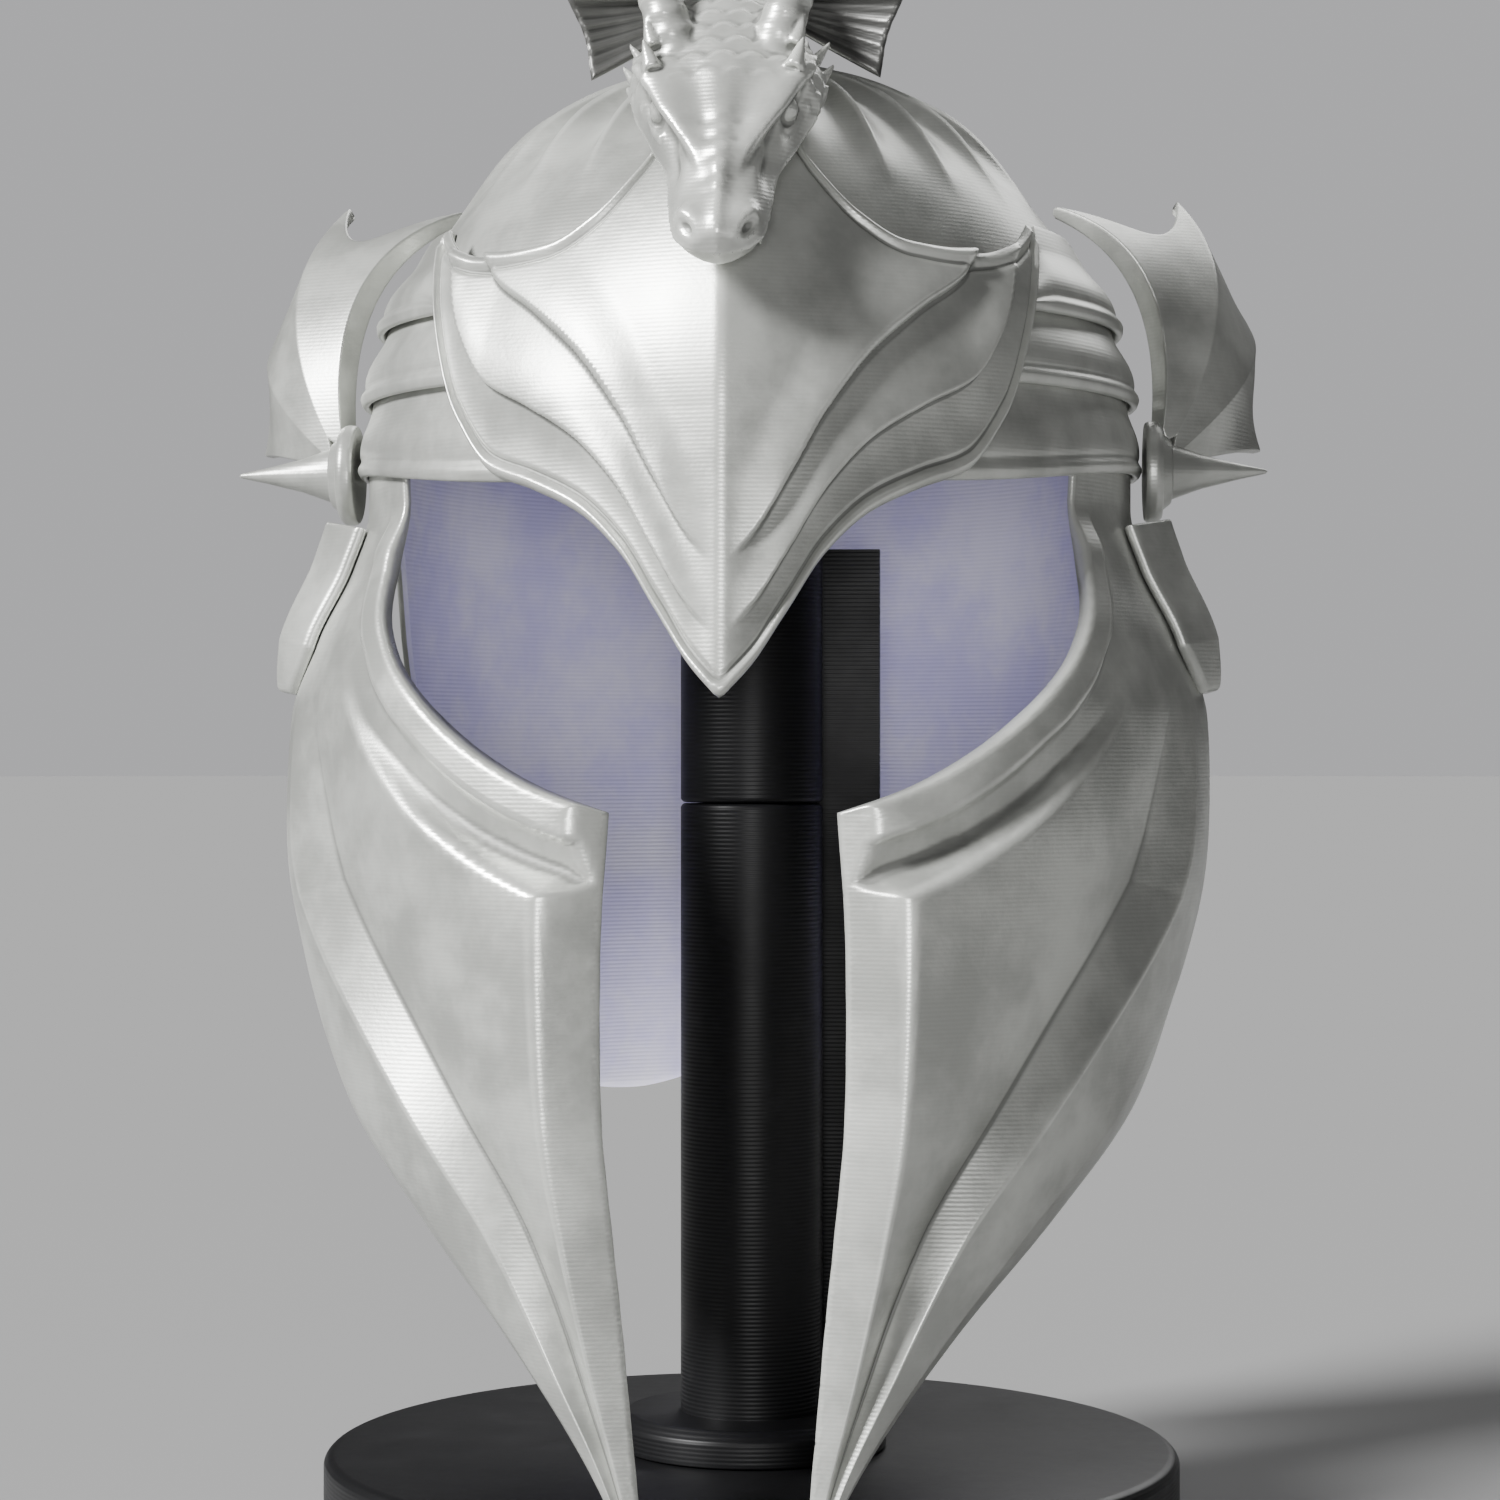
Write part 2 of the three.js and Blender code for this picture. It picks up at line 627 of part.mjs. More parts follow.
function wing() {
  const rib = (spread) => {
    const nearest = Math.abs(spread * (FINGERS.length - 1) - Math.round(spread * (FINGERS.length - 1)));
    return WING_RIB_RISE * (1 - smoothstep(nearest, 0, 0.25));
  };
  const outer = (up, across) => wingSheet(lerp(0.1, 1, up), across, WING_THICKNESS / 2 + rib(across));
  const inner = (up, across) => wingSheet(lerp(0.1, 1, up), across, -WING_THICKNESS / 2);
  const whole = solidOf(facingOut(plate(steps(8), steps(9), outer, inner)));
  return geometryFrom(largestBody(whole.subtract(solidOf(bossClearance()))));
}

const SPUR_TOP = -BOSS_DROP - BOSS_RADIUS - SPUR_SEAT;
const SPUR_MIDDLE_DEG = 80;

function spur() {
  const sheet = (extra, ridge) => (up, across) => {
    const z = SPUR_TOP - SPUR_LENGTH * (1 - up);
    const taper = Math.sqrt(clamp(up * 3 + 0.18, 0, 1)) * lerp(0.78, 1, up);
    const side = (across - 0.5) * taper;
    const angle = SPUR_MIDDLE_DEG * DEG + (SPUR_WIDTH / JAW_HALF_WIDTH) * side;
    const crest = ridge * (1 - Math.abs(2 * across - 1)) * taper;
    return lifted(jawPoint, angle, z, GAP + extra + crest);
  };
  const rows = [0, 0.06, 0.14, 0.27, 0.5, 0.75, 1];
  return plate(rows, steps(6), sheet(SPUR_THICKNESS, SPUR_RIDGE), sheet(0, 0));
}

// Dragon's head, horns and neck, joined in one casting.

const HEAD_PITCH = HEAD_PITCH_DEG * DEG;

// From the head's own frame, side, forward along the snout and up off the skull, to the helmet's.
function fromHead(side, forward, up) {
  const [along, off] = [Math.cos(HEAD_PITCH), Math.sin(HEAD_PITCH)];
  return new THREE.Vector3(
    side,
    -HEAD_FORWARD - forward * along - up * off,
    HEAD_RISE - forward * off + up * along,
  );
}

// A ring of points round a centre in the plane of two directions.
function ringAt(centre, first, second, radius, sides = 8) {
  return Array.from({ length: sides }, (_, k) => {
    const turn = (k / sides) * 2 * Math.PI;
    return centre
      .clone()
      .addScaledVector(first, radius * Math.cos(turn))
      .addScaledVector(second, radius * Math.sin(turn));
  });
}

// A round tube along a curve, whose radius follows the share along it.
function taperedTube(curve, radiusAt, segments, sides = 8) {
  const frames = curve.computeFrenetFrames(segments);
  return loft(
    steps(segments).map((share, i) =>
      ringAt(curve.getPointAt(share), frames.normals[i], frames.binormals[i], radiusAt(share), sides),
    ),
  );
}

function headSkull() {
  const sides = 14;
  const ring = (row) =>
    Array.from({ length: sides }, (_, k) => {
      const turn = (k / sides) * 2 * Math.PI;
      const rise = Math.sin(turn) > 0 ? row.top : row.bottom;
      return fromHead(
        HEAD_WIDTH * row.half * Math.cos(turn),
        HEAD_LENGTH * row.along,
        HEAD_WIDTH * rise * Math.sin(turn),
      );
    });
  return loft(HEAD_SECTIONS.map(ring));
}

function horn(side, clearance) {
  const reach = HORN_LENGTH;
  const curve = new THREE.QuadraticBezierCurve3(
    fromHead(side * HEAD_WIDTH * 0.27, -HEAD_LENGTH * 0.26, HEAD_WIDTH * 0.2),
    fromHead(side * HEAD_WIDTH * 0.5, -HEAD_LENGTH * 0.45 - reach * 0.15, HEAD_WIDTH * 0.66),
    fromHead(side * HEAD_WIDTH * 0.85, -HEAD_LENGTH * 0.45 - reach * 0.72, HEAD_WIDTH * 0.62),
  );
  return taperedTube(curve, (share) => lerp(HORN_RADIUS, 1, share) + clearance, 8);
}

function browRidge(side) {
  const curve = new THREE.QuadraticBezierCurve3(
    fromHead(side * HEAD_WIDTH * 0.4, -HEAD_LENGTH * 0.36, HEAD_WIDTH * 0.2),
    fromHead(side * HEAD_WIDTH * 0.44, -HEAD_LENGTH * 0.08, HEAD_WIDTH * 0.32),
    fromHead(side * HEAD_WIDTH * 0.14, HEAD_LENGTH * 0.16, HEAD_WIDTH * 0.18),
  );
  return taperedTube(curve, (share) => HEAD_WIDTH * lerp(0.1, 0.05, share), 6);
}

function nostril(side) {
  const centre = fromHead(side * HEAD_WIDTH * 0.14, HEAD_LENGTH * 0.41, HEAD_WIDTH * 0.12);
  return new THREE.SphereGeometry(HEAD_WIDTH * 0.09, 10, 6).translate(...centre.toArray());
}

const FRILL_CENTRE = new THREE.Vector3(0, -FRILL_FORWARD, FRILL_RISE);

function neck(clearance) {
  const curve = new THREE.CatmullRomCurve3([
    fromHead(0, -HEAD_LENGTH * 0.3, 0),
    FRILL_CENTRE.clone().add(new THREE.Vector3(0, -NECK_RADIUS * 0.7, -0.5)),
    FRILL_CENTRE.clone().add(new THREE.Vector3(0, NECK_RADIUS * 0.7, 0.5)),
    new THREE.Vector3(0, -FRILL_FORWARD * 0.4, lerp(CROWN_RISE, FRILL_RISE, 0.4)),
    new THREE.Vector3(0, FRILL_FORWARD * 0.12, CROWN_RISE - NECK_RADIUS * 0.4),
  ]);
  const radiusAt = (share) => NECK_RADIUS * lerp(1, 0.7, smoothstep(share, 0.6, 1)) + clearance;
  return taperedTube(curve, radiusAt, 10, 12);
}

function dragonHead() {
  const parts = [headSkull(), neck(0)];
  for (const side of [-1, 1]) parts.push(horn(side, 0), browRidge(side), nostril(side));
  const whole = parts.map(solidOf).reduce((sum, part) => sum.add(part));
  const cut = whole.subtract(solidOf(browPlate(GAP))).subtract(solidOf(skullClearance()));
  return geometryFrom(largestBody(cut));
}

// The frill is a dished fan of ribs round the neck, leaning back with it.
function frill() {
  const rib = (across) => 1 - Math.abs(((across * FRILL_RIBS) % 1) * 2 - 1);
  const sheet = (lift) => (up, across) => {
    const turn = lerp(-FRILL_SPREAD_DEG, FRILL_SPREAD_DEG, across) * DEG;
    const valley = rib(across);
    const reach = FRILL_RADIUS * (1 - 0.07 * valley);
    const radius = lerp(NECK_RADIUS + GAP, reach, up);
    const forward = FRILL_DISH * up * up + lift - 2 * valley * up;
    return new THREE.Vector3(radius * Math.sin(turn), -forward, radius * Math.cos(turn)).add(
      FRILL_CENTRE,
    );
  };
  const whole = facingOut(plate(steps(4), steps(FRILL_RIBS * 2), sheet(FRILL_THICKNESS), sheet(0)));
  const clear = [neck(GAP), horn(-1, GAP), horn(1, GAP)].map(solidOf);
  const cut = clear.reduce((sum, part) => sum.subtract(part), solidOf(whole));
  return geometryFrom(largestBody(cut));
}

// Crest.

function spineFrame(level) {
  const step = 1e-3;
  const point = skullPoint(Math.PI, level);
  const tangent = skullPoint(Math.PI, level - step).sub(skullPoint(Math.PI, level + step)).normalize();
  const normal = new THREE.Vector3(1, 0, 0).cross(tangent).negate().normalize();
  if (normal.z < 0 && level > 0.1) normal.negate();
  if (normal.y < 0) normal.negate();
  return { point, tangent, normal };
}

function crestSpine() {
  const corners = [
    [-1, 0],
    [1, 0],
    [0.55, 1],
    [-0.55, 1],
  ];
  const rings = steps(14).map((share) => {
    const { point, normal } = spineFrame(lerp(SPINE_START_LEVEL, SPINE_END_LEVEL, share));
    const shrink = lerp(1, 0.6, share);
    return corners.map(([side, up]) =>
      point
        .clone()
        .addScaledVector(normal, GAP + up * SPINE_HEIGHT * shrink - (1 - up) * WALL)
        .add(new THREE.Vector3(side * SPINE_HALF_WIDTH * shrink, 0, 0)),
    );
  });
  const whole = solidOf(loft(rings)).subtract(solidOf(skullClearance()));
  return geometryFrom(largestBody(whole));
}

// Stand.

function turned(profile, segments = 24) {
  const points = profile.map(([radius, z]) => new THREE.Vector2(radius, z));
  return new THREE.LatheGeometry(points, segments).rotateX(Math.PI / 2);
}

function standBase() {
  return turned(
    [
      [0, 0],
      [BASE_RADIUS - BASE_CHAMFER, 0],
      [BASE_RADIUS, BASE_CHAMFER],
      [BASE_RADIUS, BASE_HEIGHT - BASE_CHAMFER],
      [BASE_RADIUS - BASE_CHAMFER, BASE_HEIGHT],
      [0, BASE_HEIGHT],
    ],
    40,
  );
}

function standCollar() {
  const foot = BASE_HEIGHT + GAP;
  const bore = POST_RADIUS + GAP;
  return turned([
    [bore, foot],
    [COLLAR_RADIUS, foot],
    [COLLAR_RADIUS, foot + COLLAR_HEIGHT * 0.7],
    [COLLAR_RADIUS - COLLAR_HEIGHT * 0.3, foot + COLLAR_HEIGHT],
    [bore, foot + COLLAR_HEIGHT],
    [bore, foot],
  ]);
}

function postSection(from, to) {
  return turned(
    [
      [0, from],
      [POST_RADIUS - POST_CHAMFER, from],
      [POST_RADIUS, from + POST_CHAMFER],
      [POST_RADIUS, to - POST_CHAMFER],
      [POST_RADIUS - POST_CHAMFER, to],
      [0, to],
    ],
    20,
  );
}

// A flat bar behind the post, standing on the collar beside the post's centre line.
function standRail() {
  const foot = BASE_HEIGHT + COLLAR_HEIGHT + 2 * GAP;
  return new THREE.BoxGeometry(RAIL_WIDTH, RAIL_THICKNESS, RAIL_HEIGHT).translate(
    RAIL_WIDTH / 2 - GAP,
    POST_RADIUS + GAP + RAIL_THICKNESS / 2,
    foot + RAIL_HEIGHT / 2,
  );
}

// The pad fills the crown down to a level floor, a gap inside the shell, in the helmet's frame.
function standPad() {
  const made = skullDome(SHELL_INNER_ROWS, -WALL - GAP, true, 0);
  const foot = made.points.length / 3;
  for (let j = 0; j < SHELL_COLUMNS; j++) made.index.push((j + 1) % SHELL_COLUMNS, j, foot);
  const room = solidOf(geometryOf([...made.points, 0, 0, -SKIRT_DROP], made.index));
  return geometryFrom(room.trimByPlane([0, 0, 1], PAD_FLOOR));
}

// Materials.

const paintedSilver = new THREE.MeshStandardMaterial({
  color: 0xb9bab4,
  roughness: 0.42,
  metalness: 0.6,
  flatShading: true,
});
const darkSilver = new THREE.MeshStandardMaterial({
  color: 0x5d5f5c,
  roughness: 0.5,
  metalness: 0.6,
  flatShading: true,
});
const blackPlastic = new THREE.MeshStandardMaterial({
  color: 0x0d0d0e,
  roughness: 0.45,
  metalness: 0,
  flatShading: true,
});

// Assembly.

function piece(name, geometry, material) {
  const mesh = new THREE.Mesh(geometry, material);
  mesh.name = name;
  return mesh;
}

const helmet = new THREE.Group();
helmet.position.set(0, -EAR_SETBACK, BROW_LINE_HEIGHT);
helmet.add(piece("skull_shell", skullShell(), paintedSilver));
helmet.add(piece("brow_plate", browPlate(), paintedSilver));

function addPair(name, geometry) {
  helmet.add(piece(name + "_right", geometry, paintedSilver));
  helmet.add(piece(name + "_left", mirrored(geometry), paintedSilver));
}

for (let number = 0; number < LAME_COUNT; number++) addPair("lame_" + (number + 1), lame(number));
addPair("cheek_guard", cheekGuard());
addPair("wing", wing());
addPair("boss", boss());
addPair("spur", spur());

helmet.add(piece("dragon_head", dragonHead(), paintedSilver));
helmet.add(piece("neck_frill", frill(), darkSilver));
helmet.add(piece("crest_spine", crestSpine(), paintedSilver));
helmet.add(piece("stand_pad", standPad(), blackPlastic));

const stand = new THREE.Group();
stand.add(piece("stand_base", standBase(), blackPlastic));
stand.add(piece("stand_collar", standCollar(), blackPlastic));
const postLower = postSection(BASE_HEIGHT + GAP, POST_JOINT_HEIGHT);
stand.add(piece("stand_post_lower", postLower, blackPlastic));
const postUpper = postSection(POST_JOINT_HEIGHT + GAP, BROW_LINE_HEIGHT + PAD_FLOOR - GAP);
stand.add(piece("stand_post_upper", postUpper, blackPlastic));
stand.add(piece("stand_rail", standRail(), blackPlastic));

const dragonHelmet = new THREE.Group();
dragonHelmet.add(stand, helmet);
export default dragonHelmet;
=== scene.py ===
# %% [markdown]
# # A dragon helmet on its stand
# The real helmet is a printed shell under silver paint, with long cheek guards, wings at the temples and a
# dragon's head on the brow. The CAD model gives the size and place of every piece. This lesson works each
# piece out again as a fine surface, so that ridges, rolled edges and print layers catch the light.

# %% Load the CAD frame
import math

import bpy
import numpy as np
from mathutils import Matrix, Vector


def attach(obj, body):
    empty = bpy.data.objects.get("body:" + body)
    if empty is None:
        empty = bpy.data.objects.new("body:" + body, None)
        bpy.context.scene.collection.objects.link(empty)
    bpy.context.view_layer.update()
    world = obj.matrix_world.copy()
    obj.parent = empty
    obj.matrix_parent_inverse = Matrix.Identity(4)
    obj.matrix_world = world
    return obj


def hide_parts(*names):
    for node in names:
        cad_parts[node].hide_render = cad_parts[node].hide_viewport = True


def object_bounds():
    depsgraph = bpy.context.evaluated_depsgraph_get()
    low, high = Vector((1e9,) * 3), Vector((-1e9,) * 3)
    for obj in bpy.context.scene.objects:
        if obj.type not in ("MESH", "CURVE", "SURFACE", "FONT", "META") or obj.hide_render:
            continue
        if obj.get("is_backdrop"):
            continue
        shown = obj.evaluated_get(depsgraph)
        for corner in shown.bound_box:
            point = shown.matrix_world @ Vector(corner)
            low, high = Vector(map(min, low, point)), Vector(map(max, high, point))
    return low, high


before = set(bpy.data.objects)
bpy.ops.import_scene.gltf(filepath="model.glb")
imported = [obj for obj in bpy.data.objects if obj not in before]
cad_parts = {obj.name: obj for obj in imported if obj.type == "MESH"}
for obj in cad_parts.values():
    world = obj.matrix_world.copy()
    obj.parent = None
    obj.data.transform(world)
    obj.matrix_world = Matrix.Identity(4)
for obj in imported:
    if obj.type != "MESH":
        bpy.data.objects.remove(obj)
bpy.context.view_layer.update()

# %% [markdown]
# ## The camera
# The photo is taken from straight in front with a long lens, a few degrees to the viewer's right of the
# helmet's middle, level with the cheek guards' upper corners. A metre away, its frame is 420 mm wide where
# the ears are. A camera could also be pointed with a constraint, but two angles say the same more plainly.

# %% Camera
EARS = Vector((0, -0.008, 0.305))
CAMERA_DISTANCE, CAMERA_HEIGHT = 1.0, 0.221
CAMERA_TURN = math.radians(3.3)
FRAME_WIDTH, SENSOR_WIDTH = 0.42, 36

camera_data = bpy.data.cameras.new("camera")
camera_data.sensor_width = SENSOR_WIDTH
camera_data.lens = SENSOR_WIDTH * CAMERA_DISTANCE / FRAME_WIDTH
camera = bpy.data.objects.new("camera", camera_data)
bpy.context.scene.collection.objects.link(camera)
back = Vector((math.sin(CAMERA_TURN), -math.cos(CAMERA_TURN), 0))
camera.location = Vector((0, EARS.y, CAMERA_HEIGHT)) + CAMERA_DISTANCE * back
camera.rotation_euler = (math.pi / 2, 0, CAMERA_TURN)
bpy.context.scene.camera = camera
print("lens", round(camera_data.lens, 1), "mm")

# %% [markdown]
# ## Measures and tables
# All lengths below are millimetres in the helmet's own frame: z is 0 at the brow line and y is 0 at the
# ears. Short tables give shares of those lengths, and a smooth curve is read through each. The same
# tables shaped the CAD model, so every fine surface lies where its CAD piece does.

# %% Measures shared with the CAD model
TEMPLE, FOREHEAD, NAPE, CROWN, SKIRT_DROP = 103, 105, 125, 102, 188
WALL, GAP = 3, 0.35
LAME_THICKNESS = 2.6
LAME_LIFT = GAP + LAME_THICKNESS
BROW_LIFT = 2 * GAP + 2 * LAME_LIFT

SKIRT = {
    "drop": [0, 0.25, 0.5, 0.75, 1],
    "side": [1, 1, 0.97, 0.93, 0.9],
    "front": [1, 1.02, 1.05, 1.05, 1.05],
    "back": [1, 1, 0.95, 0.89, 0.93],
}
RIM = {
    "angle": [0, 72, 86, 95, 101, 106, 112, 124, 152, 168, 180],
    "drop": [0.01, 0.01, 0.04, 0.13, 0.36, 0.62, 0.81, 0.94, 1.0, 0.97, 0.91],
}


print("helmet", 2 * TEMPLE, "mm wide and", FOREHEAD + NAPE, "mm deep at the brow line")


# %% Curves and tables
def smooth(x, low, high):
    """0 below low, 1 above high, and 3t^2 - 2t^3 between them."""
    t = np.clip((np.asarray(x, float) - low) / (high - low), 0, 1)
    return t * t * (3 - 2 * t)


def hill(x, middle, width):
    """A bell curve, 1 at its middle: e to minus the square of the distance in widths."""
    return np.exp(-(((x - middle) / width) ** 2))


def read(table, key, column, at):
    """A smooth curve through a table: cubic between rows, whose slopes are harmonic means, so that it
    never overshoots."""
    x, y = np.array(table[key], float), np.array(table[column], float)
    slope = np.diff(y) / np.diff(x)
    before, after = slope[:-1], slope[1:]
    turns = before * after <= 0
    tangent = np.concatenate([slope[:1], y[1:-1] * 0, slope[-1:]])
    tangent[1:-1] = np.where(turns, 0, 2 * before * after / np.where(turns, 1, before + after))
    at = np.clip(at, x[0], x[-1])
    i = np.clip(np.searchsorted(x, at, side="left") - 1, 0, len(x) - 2)
    step = x[i + 1] - x[i]
    s = (at - x[i]) / step
    rest = 1 - s
    ends = y[i] * (1 + 2 * s) * rest**2 + y[i + 1] * s**2 * (3 - 2 * s)
    return ends + step * s * rest * (tangent[i] * rest - tangent[i + 1] * s)


print("the rim's drop at the ear:", round(float(read(RIM, "angle", "drop", 90)), 3))


# %% The skull's surface
def unit(v):
    """Vectors scaled to length one."""
    return v / np.maximum(np.linalg.norm(v, axis=-1, keepdims=True), 1e-12)


def skull(angle, level):
    """The skull: an ellipse round the head that shrinks with the cosine of its level up to the crown.

    Below the brow line the level is minus the share of the skirt's drop, and a table widens the ellipse."""
    angle, level = np.broadcast_arrays(np.asarray(angle, float), np.asarray(level, float))
    swing, drop = np.maximum(level, 0) * np.pi / 2, np.maximum(-level, 0)
    depth = np.where(
        np.cos(angle) > 0,
        FOREHEAD * read(SKIRT, "drop", "front", drop),
        NAPE * read(SKIRT, "drop", "back", drop),
    )
    x = TEMPLE * read(SKIRT, "drop", "side", drop) * np.cos(swing) * np.sin(angle)
    y = -depth * np.cos(swing) * np.cos(angle)
    return np.stack([x, y, CROWN * np.sin(swing) - SKIRT_DROP * drop], -1)


def level_at(z):
    """The skull's level at a height: an arcsine share above the brow line, a straight share below it."""
    z = np.asarray(z, float)
    return np.where(z >= 0, np.arcsin(np.clip(z / CROWN, 0, 1)) / (np.pi / 2), z / SKIRT_DROP)


def lifted(surface, angle, height, lift, step=1e-3):
    """A surface moved out by lift along its normal, the cross product of its two tangents."""
    across = surface(angle + step, height) - surface(angle - step, height)
    up = surface(angle, height + step) - surface(angle, height - step)
    return surface(angle, height) + unit(np.cross(across, up)) * np.asarray(lift, float)[..., None]


print("crown at", skull(0.0, 0.999).round(1))

# %% [markdown]
# ## Meshes from grids
# A curved plate could be a flat mesh bent by modifiers, but its edges would be hard to place. Here a plate
# is a grid of points with a thickness, closed round its border, and its edges are rounded by thinning the
# plate over the last millimetre. Whole arrays are worked out at once and handed to Blender.

# %% Mesh makers
HELMET_PLACE = np.array([0, EARS.y * 1000, EARS.z * 1000])


def grid_faces(rows, columns, start=0, wrap=False):
    """Quads between neighbours of a grid of points. With wrap the last column joins the first."""
    i, j = np.meshgrid(np.arange(rows - 1), np.arange(columns - (not wrap)), indexing="ij")
    a, b = start + i * columns + j, start + i * columns + (j + 1) % columns
    return np.stack([a, b, b + columns, a + columns], -1).reshape(-1, 4)


def make_piece(name, points, faces, materials, place=HELMET_PLACE, material_index=None):
    """A smooth-shaded mesh of these points in millimetres, moved to its place and given in metres."""
    mesh = bpy.data.meshes.new(name)
    mesh.vertices.add(len(points))
    mesh.vertices.foreach_set("co", ((points + place) / 1000).astype(np.float32).ravel())
    sizes = np.concatenate([np.full(len(f), f.shape[1]) for f in faces])
    mesh.loops.add(int(sizes.sum()))
    corners = np.concatenate([f.ravel() for f in faces])
    mesh.loops.foreach_set("vertex_index", corners.astype(np.int32))
    mesh.polygons.add(len(sizes))
    starts = np.concatenate([[0], np.cumsum(sizes)[:-1]])
    mesh.polygons.foreach_set("loop_start", starts.astype(np.int32))
    for material in materials:
        mesh.materials.append(material)
    if material_index is not None:
        mesh.polygons.foreach_set("material_index", material_index.astype(np.int32))
    mesh.update(calc_edges=True)
    mesh.validate()
    mesh.shade_smooth()
    piece = bpy.data.objects.new(name, mesh)
    bpy.context.scene.collection.objects.link(piece)
    return piece


def mirrored(points, faces):
    """The same mesh on the other side of the helmet, with its faces turned so that they still point out."""
    return points * [-1, 1, 1], [f[:, ::-1] for f in faces]


print("the helmet's own frame starts at", HELMET_PLACE.round(1), "mm")

# %% Plates with rounded edges
MOST_FALL = 0.42  # of the thickness, so that the two rounded sides never meet


def edge_distance(points):
    """How far each point of a grid lies from the nearest border, measured along its rows and columns."""
    down = np.linalg.norm(np.diff(points, axis=0), axis=-1).cumsum(0)
    down = np.concatenate([down[:1] * 0, down])
    over = np.linalg.norm(np.diff(points, axis=1), axis=-1).cumsum(1)
    over = np.concatenate([over[:, :1] * 0, over], 1)
    return np.minimum.reduce([down, down[-1:] - down, over, over[:, -1:] - over])


def bullnose(distance, radius):
    """How much a quarter-round edge has fallen at this distance from the border."""
    t = 1 - np.clip(distance / radius, 0, 1)
    return radius * (1 - np.sqrt(1 - t * t))


def border_loop(rows, columns):
    """The numbers of a grid's border points, once round."""
    grid = np.arange(rows * columns).reshape(rows, columns)
    return np.concatenate([grid[0, :-1], grid[:-1, -1], grid[-1, :0:-1], grid[:0:-1, 0]])


def plate_mesh(points, thickness, rim=1.2, coarse=1):
    """Points and faces of a closed plate: this grid moved out by the thickness, and the grid itself behind
    it, both rounded off towards the border. The back may be coarser: it then takes one point in so many."""
    rows, columns = (1 + coarse * ((n - 1) // coarse) for n in points.shape[:2])
    points = points[:rows, :columns]
    thickness = np.broadcast_to(np.asarray(thickness, float), (rows, columns))[:rows, :columns]
    normal = unit(np.cross(np.gradient(points, axis=1), np.gradient(points, axis=0)))
    fall = np.minimum(bullnose(edge_distance(points), rim), thickness * MOST_FALL)
    outer = points + normal * (thickness - fall)[..., None]
    inner = (points + normal * fall[..., None])[::coarse, ::coarse]
    count = rows * columns
    loop = border_loop(rows, columns)
    back = count + border_loop(*inner.shape[:2])
    ends = np.roll(loop, -1).reshape(-1, coarse)
    strip = np.concatenate(
        [back[:, None], np.roll(back, -1)[:, None], ends[:, ::-1], loop[::coarse, None]], 1
    )
    sheet = grid_faces(rows, columns)
    hidden = grid_faces(*inner.shape[:2], count)[:, ::-1]
    return np.concatenate([outer.reshape(-1, 3), inner.reshape(-1, 3)]), [sheet, hidden, strip]


def spread(count, near=0.012):
    """Shares from 0 to 1, evenly spaced inside and close together at both ends, where edges are rounded."""
    inside = np.linspace(near, 1 - near, count)
    lead = near * np.array([0, 0.12, 0.3, 0.6])
    return np.concatenate([lead, inside, 1 - lead[::-1]])


def rolled(away, bead, groove, bead_width=1.3, groove_away=4.8):
    """The relief near an edge: a bead just inside it and a groove behind that, each a bell curve."""
    return bead * hill(away, 2.2, bead_width) - groove * hill(away, groove_away, 0.8)


print("a 1.2 mm rounded edge falls at 0.6 mm from the border by", round(float(bullnose(0.6, 1.2)), 2), "mm")

# %% [markdown]
# ## Shader maths
# A finish is easier to read as sums than as a list of nodes, so one small class wraps a socket and lets
# Python's operators add the Math nodes. Colours go through Mix nodes, because a Math node would turn
# them grey.

# %% Sockets as numbers
class Value:
    """A number that varies over a surface: a socket whose operators add Math nodes."""

    def __init__(self, shader, socket):
        self.shader, self.socket = shader, socket

    def _math(self, operation, *values):
        node = self.shader.node("ShaderNodeMath", {"operation": operation}, dict(enumerate(values)))
        return Value(self.shader, node.outputs[0])

    def __add__(self, other):
        return self._math("ADD", self, other)

    def __sub__(self, other):
        return self._math("SUBTRACT", self, other)

    def __rsub__(self, other):
        return self._math("SUBTRACT", other, self)

    def __mul__(self, other):
        return self._math("MULTIPLY", self, other)

    __radd__, __rmul__ = __add__, __mul__

    def sine(self):
        return self._math("SINE", self)

    def between(self, low, high):
        """0 at low and 1 at high, clamped, with a soft start and end."""
        node = self.shader.node(
            "ShaderNodeMapRange", {"interpolation_type": "SMOOTHSTEP"}, {0: self, 1: low, 2: high}
        )
        return Value(self.shader, node.outputs[0])


